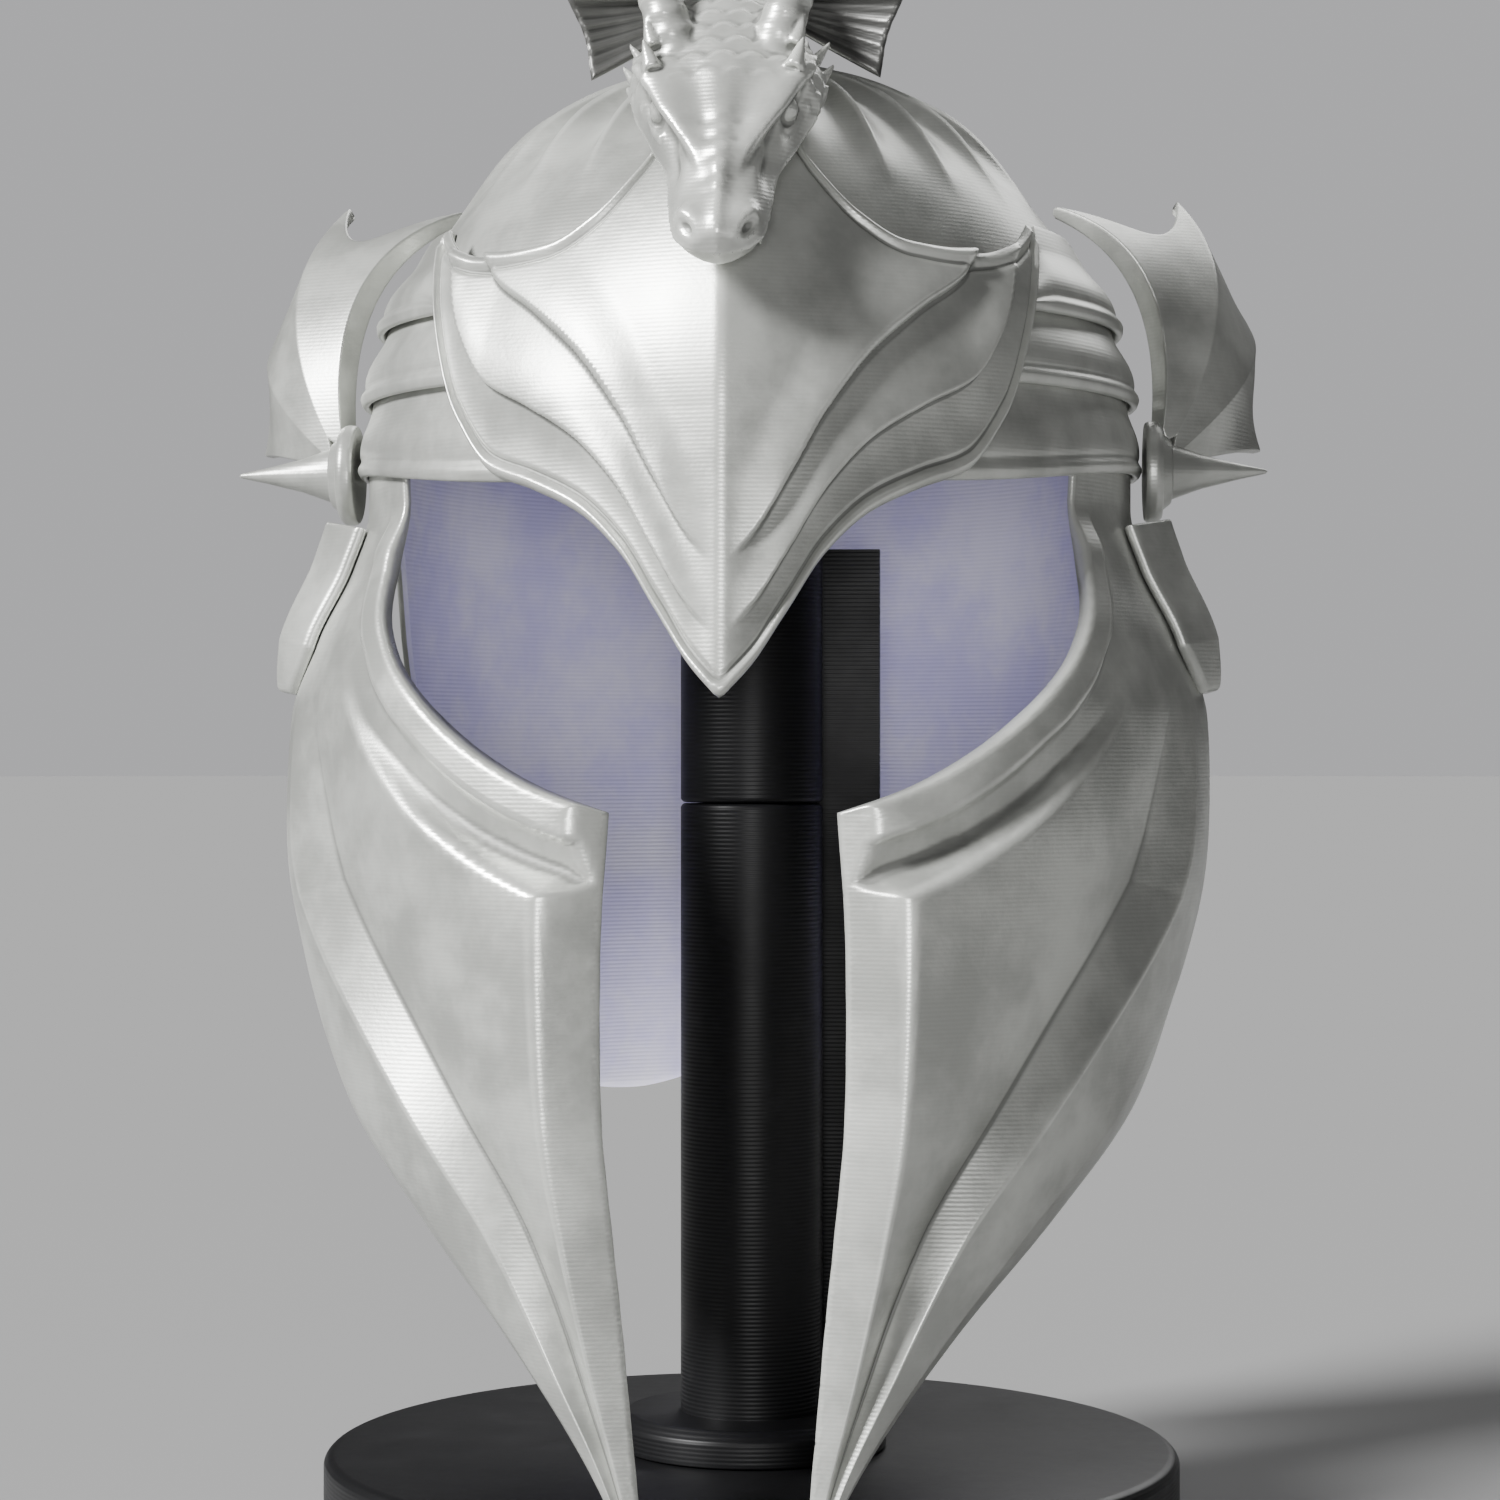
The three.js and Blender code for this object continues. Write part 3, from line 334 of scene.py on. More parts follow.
# %% A material
class Shader:
    """A material with one Principled BSDF, and a method that adds any other node."""

    def __init__(self, name, roughness, metallic=0.0):
        self.material = bpy.data.materials.new(name)
        self.material.use_nodes = True
        self.tree = self.material.node_tree
        self.surface = self.tree.nodes["Principled BSDF"]
        self.surface.inputs["Roughness"].default_value = roughness
        self.surface.inputs["Metallic"].default_value = metallic
        self.place = self.node("ShaderNodeTexCoord").outputs["Object"]

    def node(self, kind, settings=None, sockets=None):
        """Adds a node of any type, sets its settings first, then its sockets' values or links."""
        made = self.tree.nodes.new(kind)
        for key, value in (settings or {}).items():
            setattr(made, key, value)
        for key, value in (sockets or {}).items():
            self.feed(made.inputs[key], value)
        return made

    def feed(self, socket, value):
        """Links a socket, or sets its number or colour."""
        value = getattr(value, "socket", value)
        if isinstance(value, bpy.types.NodeSocket):
            self.tree.links.new(value, socket)
        else:
            socket.default_value = value

    def noise(self, scale, detail=3.0, rough=0.55):
        """Noise from 0 to 1; scale is how many lumps fit in a metre."""
        sockets = {"Vector": self.place, "Scale": scale, "Detail": detail, "Roughness": rough}
        return Value(self, self.node("ShaderNodeTexNoise", {}, sockets).outputs[0])

    def height(self):
        """The height above the floor, in metres."""
        split = self.node("ShaderNodeSeparateXYZ", {}, {0: self.place})
        return Value(self, split.outputs[2])

    def attribute(self, name):
        """A number stored on the mesh's points."""
        node = self.node("ShaderNodeAttribute", {"attribute_name": name})
        return Value(self, node.outputs["Fac"])

    def mix(self, share, first, second):
        """A colour between two colours."""
        node = self.node("ShaderNodeMix", {"data_type": "RGBA"}, {0: share, 6: first, 7: second})
        return node.outputs[2]

    def bump(self, height, distance, strength, under=None):
        """A normal tilted by a height, whose full range is distance in metres, over another normal."""
        sockets = {"Height": height, "Distance": distance, "Strength": strength}
        if under is not None:
            sockets["Normal"] = under
        return self.node("ShaderNodeBump", {}, sockets).outputs[0]

    def layers(self, pitch, wander=0.0004):
        """Print layers: a sine of the height, bent a little by noise so that no two lines are alike."""
        wave = (self.height() + self.noise(9, 1) * wander) * (2 * math.pi / pitch)
        return wave.sine() * 0.5 + 0.5


def colour(red, green, blue):
    """A solid colour, as Blender's sockets take it."""
    return (red, green, blue, 1.0)


# %% [markdown]
# ## Finishes
# The paint is a satin silver, wiped on by hand: nearly white where it is rubbed on edges, grey and smudged
# in the flats, and darkened in the hollows by painted shade. Under it the print's layers show as fine contour
# lines, wide where the surface is shallow and close where it is steep. A picture texture would need
# unwrapping, so the layers are worked out from height, which is how a printer makes them.

# %% Silver paint
# How bright the paint is where it is smudged or blotched, where painted shade darkens a hollow, and where it
# is rubbed, as a share of its tint.
SMUDGED, BLOTCHED, PAINTED_SHADE, RUBBED = 0.66, 0.6, 0.22, 1.28


def shade(tint, share):
    """A tint made darker or brighter, but no brighter than white."""
    return colour(*(min(1, share * c) for c in tint))


def silver_paint(name, tint, metallic, roughness, layer_strength=0.16):
    """Satin paint whose grey is broken by smudges and rubbed bright on edges, with painted shade darkening
    its hollows.
    """
    s = Shader(name, roughness, metallic)
    shape = s.attribute("hollow")
    smudge, blotch, streak = s.noise(26, 5, 0.62), s.noise(9, 3), s.noise(70, 4, 0.6)
    base = s.mix(smudge.between(0.36, 0.66), shade(tint, SMUDGED), shade(tint, 1))
    base = s.mix(blotch.between(0.52, 0.75) * 0.35, base, shade(tint, BLOTCHED))
    # Painted shade: hollows and creases are painted darker, where shade would fall.
    painted_shade_mask = shape.between(0.53, 0.66)
    base = s.mix(painted_shade_mask * 0.75, base, shade(tint, PAINTED_SHADE))
    rubbed = (1 - shape).between(0.54, 0.64) * (streak.between(0.35, 0.6) * 0.5 + 0.5)
    base = s.mix(rubbed * 0.6, base, shade(tint, RUBBED))
    s.feed(s.surface.inputs["Base Color"], base)
    rough = roughness - 0.07 + smudge * 0.14 + painted_shade_mask * 0.2 - rubbed * 0.08
    s.feed(s.surface.inputs["Roughness"], rough)
    grain = s.bump(s.noise(900, 2) * 0.5 + streak * 0.5, 0.00012, 0.5)
    lined = s.bump(s.layers(0.0011), 0.00009, layer_strength, grain)
    s.feed(s.surface.inputs["Normal"], lined)
    print(name, "has", len(s.tree.nodes), "nodes")
    return s.material


SILVER = silver_paint("silver_paint", (0.55, 0.56, 0.527), 0.55, 0.37)
PALE_SILVER = silver_paint("silver_paint_head", (0.6, 0.61, 0.575), 0.5, 0.33, 0.2)
DARK_SILVER = silver_paint("dark_silver_paint", (0.12, 0.12, 0.115), 0.6, 0.45)

# %% [markdown]
# The inside was never painted. It keeps the filament's pale lavender, with even layer lines, a few faint
# blotches and no gloss. The stand is black filament, which shows only by the dust and lines in its gloss.

# %% Bare print and black plastic
BARE_LAYER = 0.0012


def bare_print():
    """Matt lavender filament with level layer lines."""
    s = Shader("lavender_print", 0.62)
    cloud = s.noise(22, 5, 0.65)
    base = s.mix(cloud.between(0.34, 0.68), colour(0.66, 0.63, 0.95), colour(0.88, 0.86, 1.0))
    lines = s.layers(BARE_LAYER, 0.0002)
    base = s.mix(lines * 0.12, base, colour(0.6, 0.57, 0.82))
    s.feed(s.surface.inputs["Base Color"], base)
    s.feed(s.surface.inputs["Normal"], s.bump(lines, 0.00012, 0.35))
    return s.material


def black_print():
    """Black filament: almost no colour, so the layer lines and dust in its gloss are what shows."""
    s = Shader("black_print", 0.42)
    s.surface.inputs["Specular IOR Level"].default_value = 0.2
    dust = s.noise(40, 5, 0.7)
    base = s.mix(dust.between(0.55, 0.85) * 0.4, colour(0.006, 0.006, 0.0065), colour(0.03, 0.03, 0.032))
    s.feed(s.surface.inputs["Base Color"], base)
    s.feed(s.surface.inputs["Roughness"], dust * 0.25 + 0.3)
    s.feed(s.surface.inputs["Normal"], s.bump(s.layers(BARE_LAYER, 0.0001), 0.00012, 0.45))
    return s.material


LAVENDER, BLACK = bare_print(), black_print()
print("bare layers are", BARE_LAYER * 1000, "mm apart")

# %% [markdown]
# Paint wears on edges, and its hollows get painted shade, so the finish has to know which is which. The mean
# slope from each point to its neighbours tells: they lie above it in a hollow and below it on an edge.
# The answer is kept on the mesh as a number round one half.

# %% Hollows and edges
HOLLOW_ROUNDS = 3


def store_hollows(piece, reach):
    """Stores 0.5 plus reach times the mean climb to the neighbours, averaged over a few rounds of them."""
    mesh = piece.data
    count = len(mesh.vertices)
    points, normals = np.empty(count * 3), np.empty(count * 3)
    mesh.vertices.foreach_get("co", points)
    mesh.vertices.foreach_get("normal", normals)
    points, normals = points.reshape(-1, 3), normals.reshape(-1, 3)
    ends = np.empty(len(mesh.edges) * 2, np.int32)
    mesh.edges.foreach_get("vertices", ends)
    a, b = ends.reshape(-1, 2).T
    way = unit(points[b] - points[a])
    number = np.bincount(a, minlength=count) + np.bincount(b, minlength=count)

    def gather(at_a, at_b):
        return np.bincount(a, at_a, count) + np.bincount(b, at_b, count)

    climb = gather((way * normals[a]).sum(-1), -(way * normals[b]).sum(-1)) / number
    for _ in range(HOLLOW_ROUNDS):
        climb = 0.5 * climb + 0.5 * gather(climb[b], climb[a]) / number
    stored = mesh.attributes.new("hollow", "FLOAT", "POINT")
    stored.data.foreach_set("value", np.clip(0.5 + reach * climb, 0, 1).astype(np.float32))


def settle(piece, node, reach=1.0):
    """Stores the hollows, then lets the piece stand for its CAD node."""
    store_hollows(piece, reach)
    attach(piece, "root")
    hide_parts(node)
    print(piece.name, len(piece.data.polygons), "faces")


def settle_pair(name, node, made, reach=1.0):
    """A silver piece on the right and its mirror image on the left. The braces in both names are the side."""
    for side, (points, faces) in (("right", made), ("left", mirrored(*made))):
        piece = make_piece(name.format(side[0]), points, faces, [SILVER])
        settle(piece, node.format(side), reach)


# %% [markdown]
# ## The skull
# The shell is one bowl with a neck guard. Ribs run down it like a melon's: one minus the size of a sine
# makes sharp ridges with hollows between them. They die away before the lames, the crown and the crest.
# The lower rim follows a table, high over the ears and low behind them.

# %% Ribs and skins
FLUTE_RIBS, FLUTE_RISE, FLUTE_FADE = 24, 5.0, 0.26
# The level at which the ribs start: above the lames at the sides, and under the brow line at the back.
FLUTE_FOOT_SIDE, FLUTE_FOOT_BACK = 0.39, -0.45
SHELL_COLUMNS, SHELL_REACH, SHELL_EDGE = 384, 190, 1.3
# The neck guard's rolled border, in millimetres: how far up from the rim, how wide and how high.
NECK_BORDER = [(3.2, 2.0, 1.5), (14, 1.1, 0.9), (7.4, 1.0, -0.5)]


def flute_rise(angle, level):
    """Ribs on the skull: 1 - |sin|, faded out above the lames, at the crown and along the middle."""
    wave = (1 - np.abs(np.sin(FLUTE_RIBS / 2 * angle))) ** 1.25
    beside = smooth(np.abs(np.sin(angle)), 0.2, 0.4)
    foot = FLUTE_FOOT_SIDE + (FLUTE_FOOT_BACK - FLUTE_FOOT_SIDE) * smooth(-np.cos(angle), 0.2, 0.5)
    above = smooth((level - foot) / FLUTE_FADE, 0, 1) * (1 - smooth(level, 0.84, 0.98))
    return FLUTE_RISE * wave * beside * above


def shell_skin(shares, lift, fluted):
    """One side of the shell: the skull from its rim to just below the crown, and its crown point."""
    angle = np.linspace(0, 2 * np.pi, SHELL_COLUMNS, endpoint=False)[None, :]
    from_front = np.degrees(np.arccos(np.clip(np.cos(angle), -1, 1)))
    rim = -read(RIM, "angle", "drop", from_front)
    level = rim + (1 - rim) * shares[:, None]
    away = shares[:, None] * SHELL_REACH
    fall = bullnose(away, SHELL_EDGE) * (-1 if fluted else 1)
    rise = 0
    if fluted:
        border = sum(high * hill(away, up, width) for up, width, high in NECK_BORDER)
        rise = flute_rise(angle, level) + smooth(from_front, 100, 112) * border
    points = lifted(skull, angle + 0 * level, level, lift + fall + rise)
    return np.concatenate([points.reshape(-1, 3), [[0, 0, CROWN + lift]]])


print("ribs start", round(CROWN * math.sin(FLUTE_FOOT_SIDE * math.pi / 2)), "mm over the brow line")


# %% Skull shell
def skull_shell():
    """Outside and inside skins, joined round the rim. The inside keeps the bare print."""
    outside = np.concatenate([np.linspace(0, 0.1, 34), np.linspace(0.108, 0.996, 120)])
    inside = np.concatenate([[0, 0.001, 0.003, 0.006], np.linspace(0.01, 0.996, 44)])
    outer, inner = shell_skin(outside, 0, True), shell_skin(inside, -WALL, False)
    start, n = len(outer), SHELL_COLUMNS
    ring = np.arange(n)
    after = np.roll(ring, -1)
    top = (len(outside) - 1) * n
    under = start + (len(inside) - 1) * n
    faces = [
        grid_faces(len(outside), n, 0, True),
        np.stack([top + ring, top + after, np.full(n, start - 1)], -1),
        np.stack([start + ring, start + after, after, ring], -1),
        grid_faces(len(inside), n, start, True)[:, ::-1],
        np.stack([under + after, under + ring, np.full(n, start + len(inner) - 1)], -1),
    ]
    bare = np.concatenate([np.full(len(f), k > 2) for k, f in enumerate(faces)])
    return make_piece(
        "skull", np.concatenate([outer, inner]), faces, [SILVER, LAVENDER], material_index=bare
    )


settle(skull_shell(), "skull_shell")

# %% [markdown]
# ## Brow plate, keel and nasal
# This is one plate bent over the forehead. A keel runs down its middle to the nasal's point. On the real
# helmet the brow looks built up in layers, so two steps run parallel to the lower edge, and both long edges
# have a rolled bead. Each is a soft step of the distance from the plate's lower edge.

# %% Brow plate
NASAL_DROP, KEEL_RISE, KEEL_HALF, BROW_END = 72, 13, 34, 52
BROW_THICKNESS = 3
BROW = {
    "angle": [0, 4, 8, 13, 19, 26, 33, 39, 44, 48, 52],
    "low": [1, 0.88, 0.71, 0.5, 0.35, 0.26, 0.19, 0, -0.25, -0.44, -0.62],
    "high": [0.78, 0.765, 0.7, 0.575, 0.465, 0.4, 0.385, 0.39, 0.41, 0.445, 0.49],
}


def brow_grid(up, turn):
    """The plate's inner face: the skull lifted clear of the lames, with the keel pushed forward."""
    size = np.abs(turn)
    low = -NASAL_DROP * read(BROW, "angle", "low", size)
    high = CROWN * read(BROW, "angle", "high", size)
    z = low + (high - low) * up
    points = lifted(skull, np.radians(turn), level_at(z), BROW_LIFT + 0 * z)
    points[..., 1] -= KEEL_RISE * np.maximum(0, 1 - size / KEEL_HALF) ** 1.5
    return points


print("the nasal ends", NASAL_DROP, "mm under the brow line")


# %% Carving of the brow
# In millimetres: how far the first step lies over the edge, and how much further at the plate's ends; how
# many times further the second step lies; how high each stands, and half the width of its slope.
FIRST_STEP, FIRST_STEP_GROWTH, SECOND_STEP_RATIO = 15, 8, 2.15
FIRST_STEP_RISE, SECOND_STEP_RISE, STEP_SLOPE = 3.2, 3.0, 0.6


def brow_plate():
    """Thickness plus beads along both long edges, and two steps above the lower one that fade upwards."""
    ends = BROW_END - np.array([0.4, 0.15, 0])
    half = np.concatenate([np.linspace(0, 6, 16), np.linspace(6.5, BROW_END - 0.8, 84), ends])
    turn = np.concatenate([-half[:0:-1], half])[None, :]
    up = spread(150, 0.014)[:, None]
    points = brow_grid(up, turn)
    size = np.abs(turn)
    drop = np.linalg.norm(np.diff(points, axis=0), axis=-1).cumsum(0)
    low = np.concatenate([drop[:1] * 0, drop])
    high = low[-1:] - low
    first = FIRST_STEP + FIRST_STEP_GROWTH * smooth(size, 0, 40)
    second = first * SECOND_STEP_RATIO
    lower_band = -0.8 * np.sin(np.pi * np.clip(low / first, 0, 1))
    faded = 1 - 0.75 * np.sin(np.pi / 2 * np.clip((low - first) / (second - first), 0, 1)) ** 2
    middle_band = FIRST_STEP_RISE * smooth(low - first, -STEP_SLOPE, STEP_SLOPE) * faded
    faded = 1 - 0.8 * smooth(low - second, 0.5, 26)
    upper_field = SECOND_STEP_RISE * smooth(low - second, -STEP_SLOPE, STEP_SLOPE) * faded
    beside = smooth(size, 0.5, 7)
    carved = (lower_band + middle_band + upper_field) * beside + 1.2 * (1 - beside)
    thickness = BROW_THICKNESS - 1.0 + carved + rolled(low, 0.9, 0.6) + rolled(high, 1.0, 0.6)
    return make_piece("brow", *plate_mesh(points, thickness, 1.3), [SILVER])


settle(brow_plate(), "brow_plate", reach=2.2)

# %% [markdown]
# ## Lames
# Three narrow plates overlap like roof tiles beside the brow. Each lies close to the skull at its head and
# rides up over the one below at its foot. A rolled bead stiffens the foot's edge.

# %% Lames
LAME_PITCH, LAME_OVERLAP, LAME_FOOT = 19, 7, 9
LAME_START, LAME_STEP, LAME_RAKE, LAME_END = 26, 9, 10, 96
# The lowest lame's foot dips with the brow plate's arch, as it is at this angle, and the top lame's front
# corner is tucked down behind the brow plate by so many millimetres.
ARCH_ANGLE, CORNER_TUCK = 30, 15


def lame(number):
    """A band of the skull whose lift falls from its foot to its head in a soft step."""
    up, across = spread(40, 0.03)[:, None], spread(150, 0.008)[None, :]
    reach = LAME_PITCH + LAME_OVERLAP
    zone = LAME_OVERLAP / reach
    start = LAME_START + number * LAME_STEP + up * LAME_RAKE
    angle = np.radians(start + (LAME_END - start) * across)
    arch = float(read(BROW, "angle", "low", ARCH_ANGLE)) * NASAL_DROP - LAME_FOOT if number == 0 else 0
    dip = arch * (1 - smooth(across, 0, 0.8)) * (1 - up)
    tuck = CORNER_TUCK * (1 - smooth(across, 0, 0.2)) * up if number == 2 else 0
    z = number * LAME_PITCH - LAME_FOOT - dip + up * reach - tuck
    raised = 1 - smooth(up, zone, 1 - zone)
    points = lifted(skull, angle, level_at(z), GAP + LAME_LIFT * raised)
    return plate_mesh(points, LAME_THICKNESS - 0.5 + rolled(up * reach, 0.7, 0.35, 1.2, 4.6), 1.0)


for number in range(3):
    name = f"lame_{number + 1}_"
    settle_pair(name + "{}", name + "{}", lame(number))

# %% [markdown]
# ## Cheek guards
# Each guard hangs from the temple, flares over the jaw and tapers to a point. Its face is carved: a bevel
# along the mouth, a broad panel, a valley, a second ridge, and a long fall to the outer edge. The relief is
# a profile across the guard, scaled by the guard's width so that it closes up towards the tip.

# %% Cheek guards
CHEEK_TOP, CHEEK_LENGTH = 3, 288
JAW_WIDTH, JAW_DEPTH = 126, 122
CHEEK_BEVEL = 11
JAW = {
    "drop": [0, 0.05, 0.11, 0.18, 0.25, 0.35, 0.5, 0.6, 0.7, 0.8, 1],
    "flare": [0, 0, 0.25, 0.74, 1, 1, 1, 1, 1, 1, 1],
    "side": [1, 1, 1, 1, 1, 0.985, 0.94, 0.9, 0.81, 0.72, 0.6],
    "front": [1, 1, 0.995, 0.99, 0.99, 1, 1.01, 1.01, 1, 0.99, 0.965],
}
CHEEK_ARM = {
    "step": [0, 0.15, 0.3, 0.45, 0.6, 0.74, 0.87, 1],
    "inner_angle": [57, 56, 53, 46.5, 38.5, 30, 21.5, 13.3],
    "inner_drop": [0, 0.06, 0.125, 0.187, 0.236, 0.281, 0.314, 0.335],
    "outer_angle": [93, 95, 97, 98.5, 99, 98, 95.5, 91],
    "outer_drop": [0, 0.06, 0.125, 0.19, 0.255, 0.32, 0.385, 0.45],
}
CHEEK_BLADE = {
    "step": [0, 0.18, 0.36, 0.54, 0.72, 0.87, 1],
    "inner_angle": [13.3, 14.8, 15.6, 16, 16.2, 15.9, 15.4],
    "inner_drop": [0.335, 0.45, 0.58, 0.7, 0.82, 0.92, 1],
    "outer_angle": [91, 82, 70, 55, 39.5, 26, 17.2],
    "outer_drop": [0.45, 0.535, 0.625, 0.715, 0.805, 0.9, 0.985],
}


def jaw(angle, z):
    """An ellipse round the jaw at each height, which grows out of the skull's own ellipse below the brow."""
    angle, z = np.broadcast_arrays(np.asarray(angle, float), np.asarray(z, float))
    drop = np.clip((-CHEEK_TOP - z) / CHEEK_LENGTH, 0, 1)
    flare = read(JAW, "drop", "flare", drop)
    side = (TEMPLE + LAME_LIFT) * (1 - flare) + JAW_WIDTH * read(JAW, "drop", "side", drop) * flare
    front = (FOREHEAD + LAME_LIFT) * (1 - flare) + JAW_DEPTH * read(JAW, "drop", "front", drop) * flare
    return np.stack([side * np.sin(angle), -front * np.cos(angle), z], -1)


def cheek_edge(step, column):
    """An edge of the guard: the arm's table down to the corner below the eye, then the blade's."""
    return np.where(
        step <= 1,
        read(CHEEK_ARM, "step", column, np.minimum(step, 1)),
        read(CHEEK_BLADE, "step", column, np.maximum(step - 1, 0)),
    )


def cheek_points(step, across, lift):
    """Points of the jaw between the guard's two edges, moved out by the lift."""
    angle = cheek_edge(step, "inner_angle") * (1 - across) + cheek_edge(step, "outer_angle") * across
    drop = cheek_edge(step, "inner_drop") * (1 - across) + cheek_edge(step, "outer_drop") * across
    z = -CHEEK_TOP - CHEEK_LENGTH * drop
    return lifted(jaw, np.radians(angle), z, lift + 0 * z)


print("the jaw is", round(2 * float(jaw(math.pi / 2, -90.0)[0])), "mm wide, 90 mm under the brow line")


# %% Carving of the guards
# Heights of the carving in millimetres: by distance from the eye's edge, on the arm and below it, and by
# share across the guard. Below the eye the inner edge turns a corner, and the panels' creases are pushed
# outwards there, so that they don't turn with it.
ARM_BAND = {"away": [0, 1.5, 8, 9, 12], "rise": [1.8, 2.6, 2.8, 0.2, 0]}
EYE_BAND = {"away": [0, 1.5, 9, 10, 17, 19, 60], "rise": [4.4, 5.4, 5.6, 3.4, 0.6, 2.6, 60]}
PANELS = {"across": [0, 0.38, 0.5, 0.77, 1], "rise": [12.0, 0.2, 7.4, 4.6, -1.8]}
BEVEL_FOOT, BEVEL_SLOPE = -1.2, 0.86
CREASE_SWAY, CORNER_PUSH = 0.085, 0.216


def nearest(points, line):
    """How far each point of a grid lies from a line of points: the least distance to any of them."""
    gap = points[..., None, :] - line
    return np.sqrt((gap**2).sum(-1)).min(-1)


def lowest(*heights, blend=0.3):
    """The lowest of several heights, their meetings rounded: minus the log of summed falling exponentials."""
    heights = np.broadcast_arrays(*heights)
    base = np.minimum.reduce(heights)
    return base - blend * np.log(sum(np.exp((base - h) / blend) for h in heights))


def guard_grid():
    """Steps down the guard, close together at the corner below the eye, and columns across it."""
    blade, corner, arm = np.linspace(2, 1.06, 250), np.linspace(1.055, 0.9, 40), np.linspace(0.896, 0, 135)
    inside = np.linspace(0.022, 0.978, 113)
    column = np.concatenate([[0, 0.004, 0.009, 0.015], inside, [0.985, 0.991, 0.996, 1]])
    return np.concatenate([blade, corner, arm])[:, None], column[None, :]


def cheek_guard():
    """The jaw's surface, carved where planes meet: the lowest of the eye band, the mouth's bevel and the
    panels wins, so every meeting of two is a crisp crease."""
    step, column = guard_grid()
    bend = np.sin(np.pi * smooth(step, 0.5, 1.9) * 1.55 + 0.25) * (1 - smooth(step, 1.5, 2))
    push = np.exp(-np.abs(step - 1) / 0.3) * np.maximum(0.867 - column, 0) * smooth(column, 0, 0.3)
    across = column + CREASE_SWAY * bend * np.sin(np.pi * column) ** 2 + CORNER_PUSH * push
    base = cheek_points(step, across, -LAME_THICKNESS)
    width = np.linalg.norm(np.diff(base, axis=1), axis=-1).sum(1)[:, None]
    edge_step = np.linspace(0, 2, 240)
    edge = cheek_points(edge_step, 0.0 * edge_step, -LAME_THICKNESS)
    from_eye, from_mouth = nearest(base, edge[:121]), nearest(base, edge[120:])
    narrow = (1 + (4 * CHEEK_BEVEL / width) ** 4) ** -0.25
    panel = narrow * np.interp(column, PANELS["across"], PANELS["rise"])
    rim = np.interp(from_eye, EYE_BAND["away"], EYE_BAND["rise"])
    carved = lowest(panel, BEVEL_FOOT + BEVEL_SLOPE * from_mouth, rim)
    arm = np.interp(from_eye, ARM_BAND["away"], ARM_BAND["rise"]) * smooth(step, 0.14, 0.26)
    blade = smooth(step, 0.42, 1.0)
    return plate_mesh(base, LAME_THICKNESS + arm * (1 - blade) + carved * blade, 1.0, 4)


settle_pair("cheek_{}", "cheek_guard_{}", cheek_guard(), 2.2)

# %% [markdown]
# ## Wings
# A wing is a web between four bent fingers that spring from one root. The web is drawn in between the
# fingers' tips, and each finger stands proud as a rib. Four curves and straight lines between them give the
# whole sheet, which is easier to keep even than a mesh pulled about by hand.

# %% Wings
WING_SPAN, WING_THICKNESS, WING_SCALLOP = 96, 3, 0.2
RIB_RISE, RIB_WIDTH, LEADING_BULK, VEIN_RISE, WEB_SINK = 3.78, 0.11, 3.4, 0.22, 1.1
BOSS_RADIUS, BOSS_LENGTH, BOSS_DROP, BOSS_FORWARD, BOSS_STANDOFF = 14, 34, 7, 4, 6.6
ROOT = np.array([TEMPLE + BOSS_STANDOFF + WING_THICKNESS, -BOSS_FORWARD, -BOSS_DROP], float)
FINGERS = {
    "bend": np.array([[0.14, 0.04, 0.66], [0.34, 0.1, 0.54], [0.38, 0.12, 0.3], [0.26, 0.16, 0.08]]),
    "tip": np.array([[-0.28, 0.46, 0.84], [0.1, 0.62, 0.88], [0.33, 0.74, 0.5], [0.35, 0.52, 0.1]]),
}


def finger(number, along):
    """A quadratic curve from the root past its bend to its tip."""
    bend = ROOT + WING_SPAN * FINGERS["bend"][number]
    tip = ROOT + WING_SPAN * FINGERS["tip"][number]
    t = along[..., None]
    return ROOT * (1 - t) ** 2 + bend * 2 * t * (1 - t) + tip * t * t


def wing():
    """A grid from the root outwards and from finger to finger: half an ellipse thicker where a finger runs,
    thickest along the first, and sunk by half a sine between two."""
    along, over = np.broadcast_arrays(0.1 + 0.9 * spread(90, 0.012)[:, None], spread(96, 0.012)[None, :])
    first = np.minimum((over * 3).astype(int), 2)
    between = over * 3 - first
    reach = along * (1 - WING_SCALLOP * 4 * between * (1 - between))
    points = finger(first, reach) * (1 - between[..., None]) + finger(first + 1, reach) * between[..., None]
    beside = np.abs(over * 3 - np.round(over * 3)) * (0.35 + 0.65 * along)
    rib = RIB_RISE * np.sqrt(np.clip(1 - (beside / RIB_WIDTH) ** 2, 0, 1)) * (1 - 0.62 * along)
    leading = LEADING_BULK * smooth(-over, -0.2, 0) * np.sin(np.pi * np.clip(along, 0, 1) ** 0.7) ** 0.8
    veins = VEIN_RISE * np.sin(between * 34) * smooth(beside, 0.1, 0.16) * smooth(along, 0.3, 0.6)
    sunk = WEB_SINK * np.sin(np.pi * between) * along
    thickness = WING_THICKNESS * (1.15 - 0.45 * along) + rib + leading + veins - sunk
    return plate_mesh(points[:, ::-1], thickness[:, ::-1], 1.0)


settle_pair("wing_{}_web", "wing_{}", wing(), 0.6)

# %% [markdown]
# ## Bosses and spurs
# A round boss with a spike covers each wing's root, and a keeled tongue hangs below it. What is round is
# turned, as on a lathe: a profile of radius and height carried round an axis, with its corners cut by small
# curves that catch the light. The tongue lies on the jaw's surface, as the cheek guard does.

# %% Turning a profile
AXIS = 0.01  # a profile ends this far from its axis, so that no face there is empty


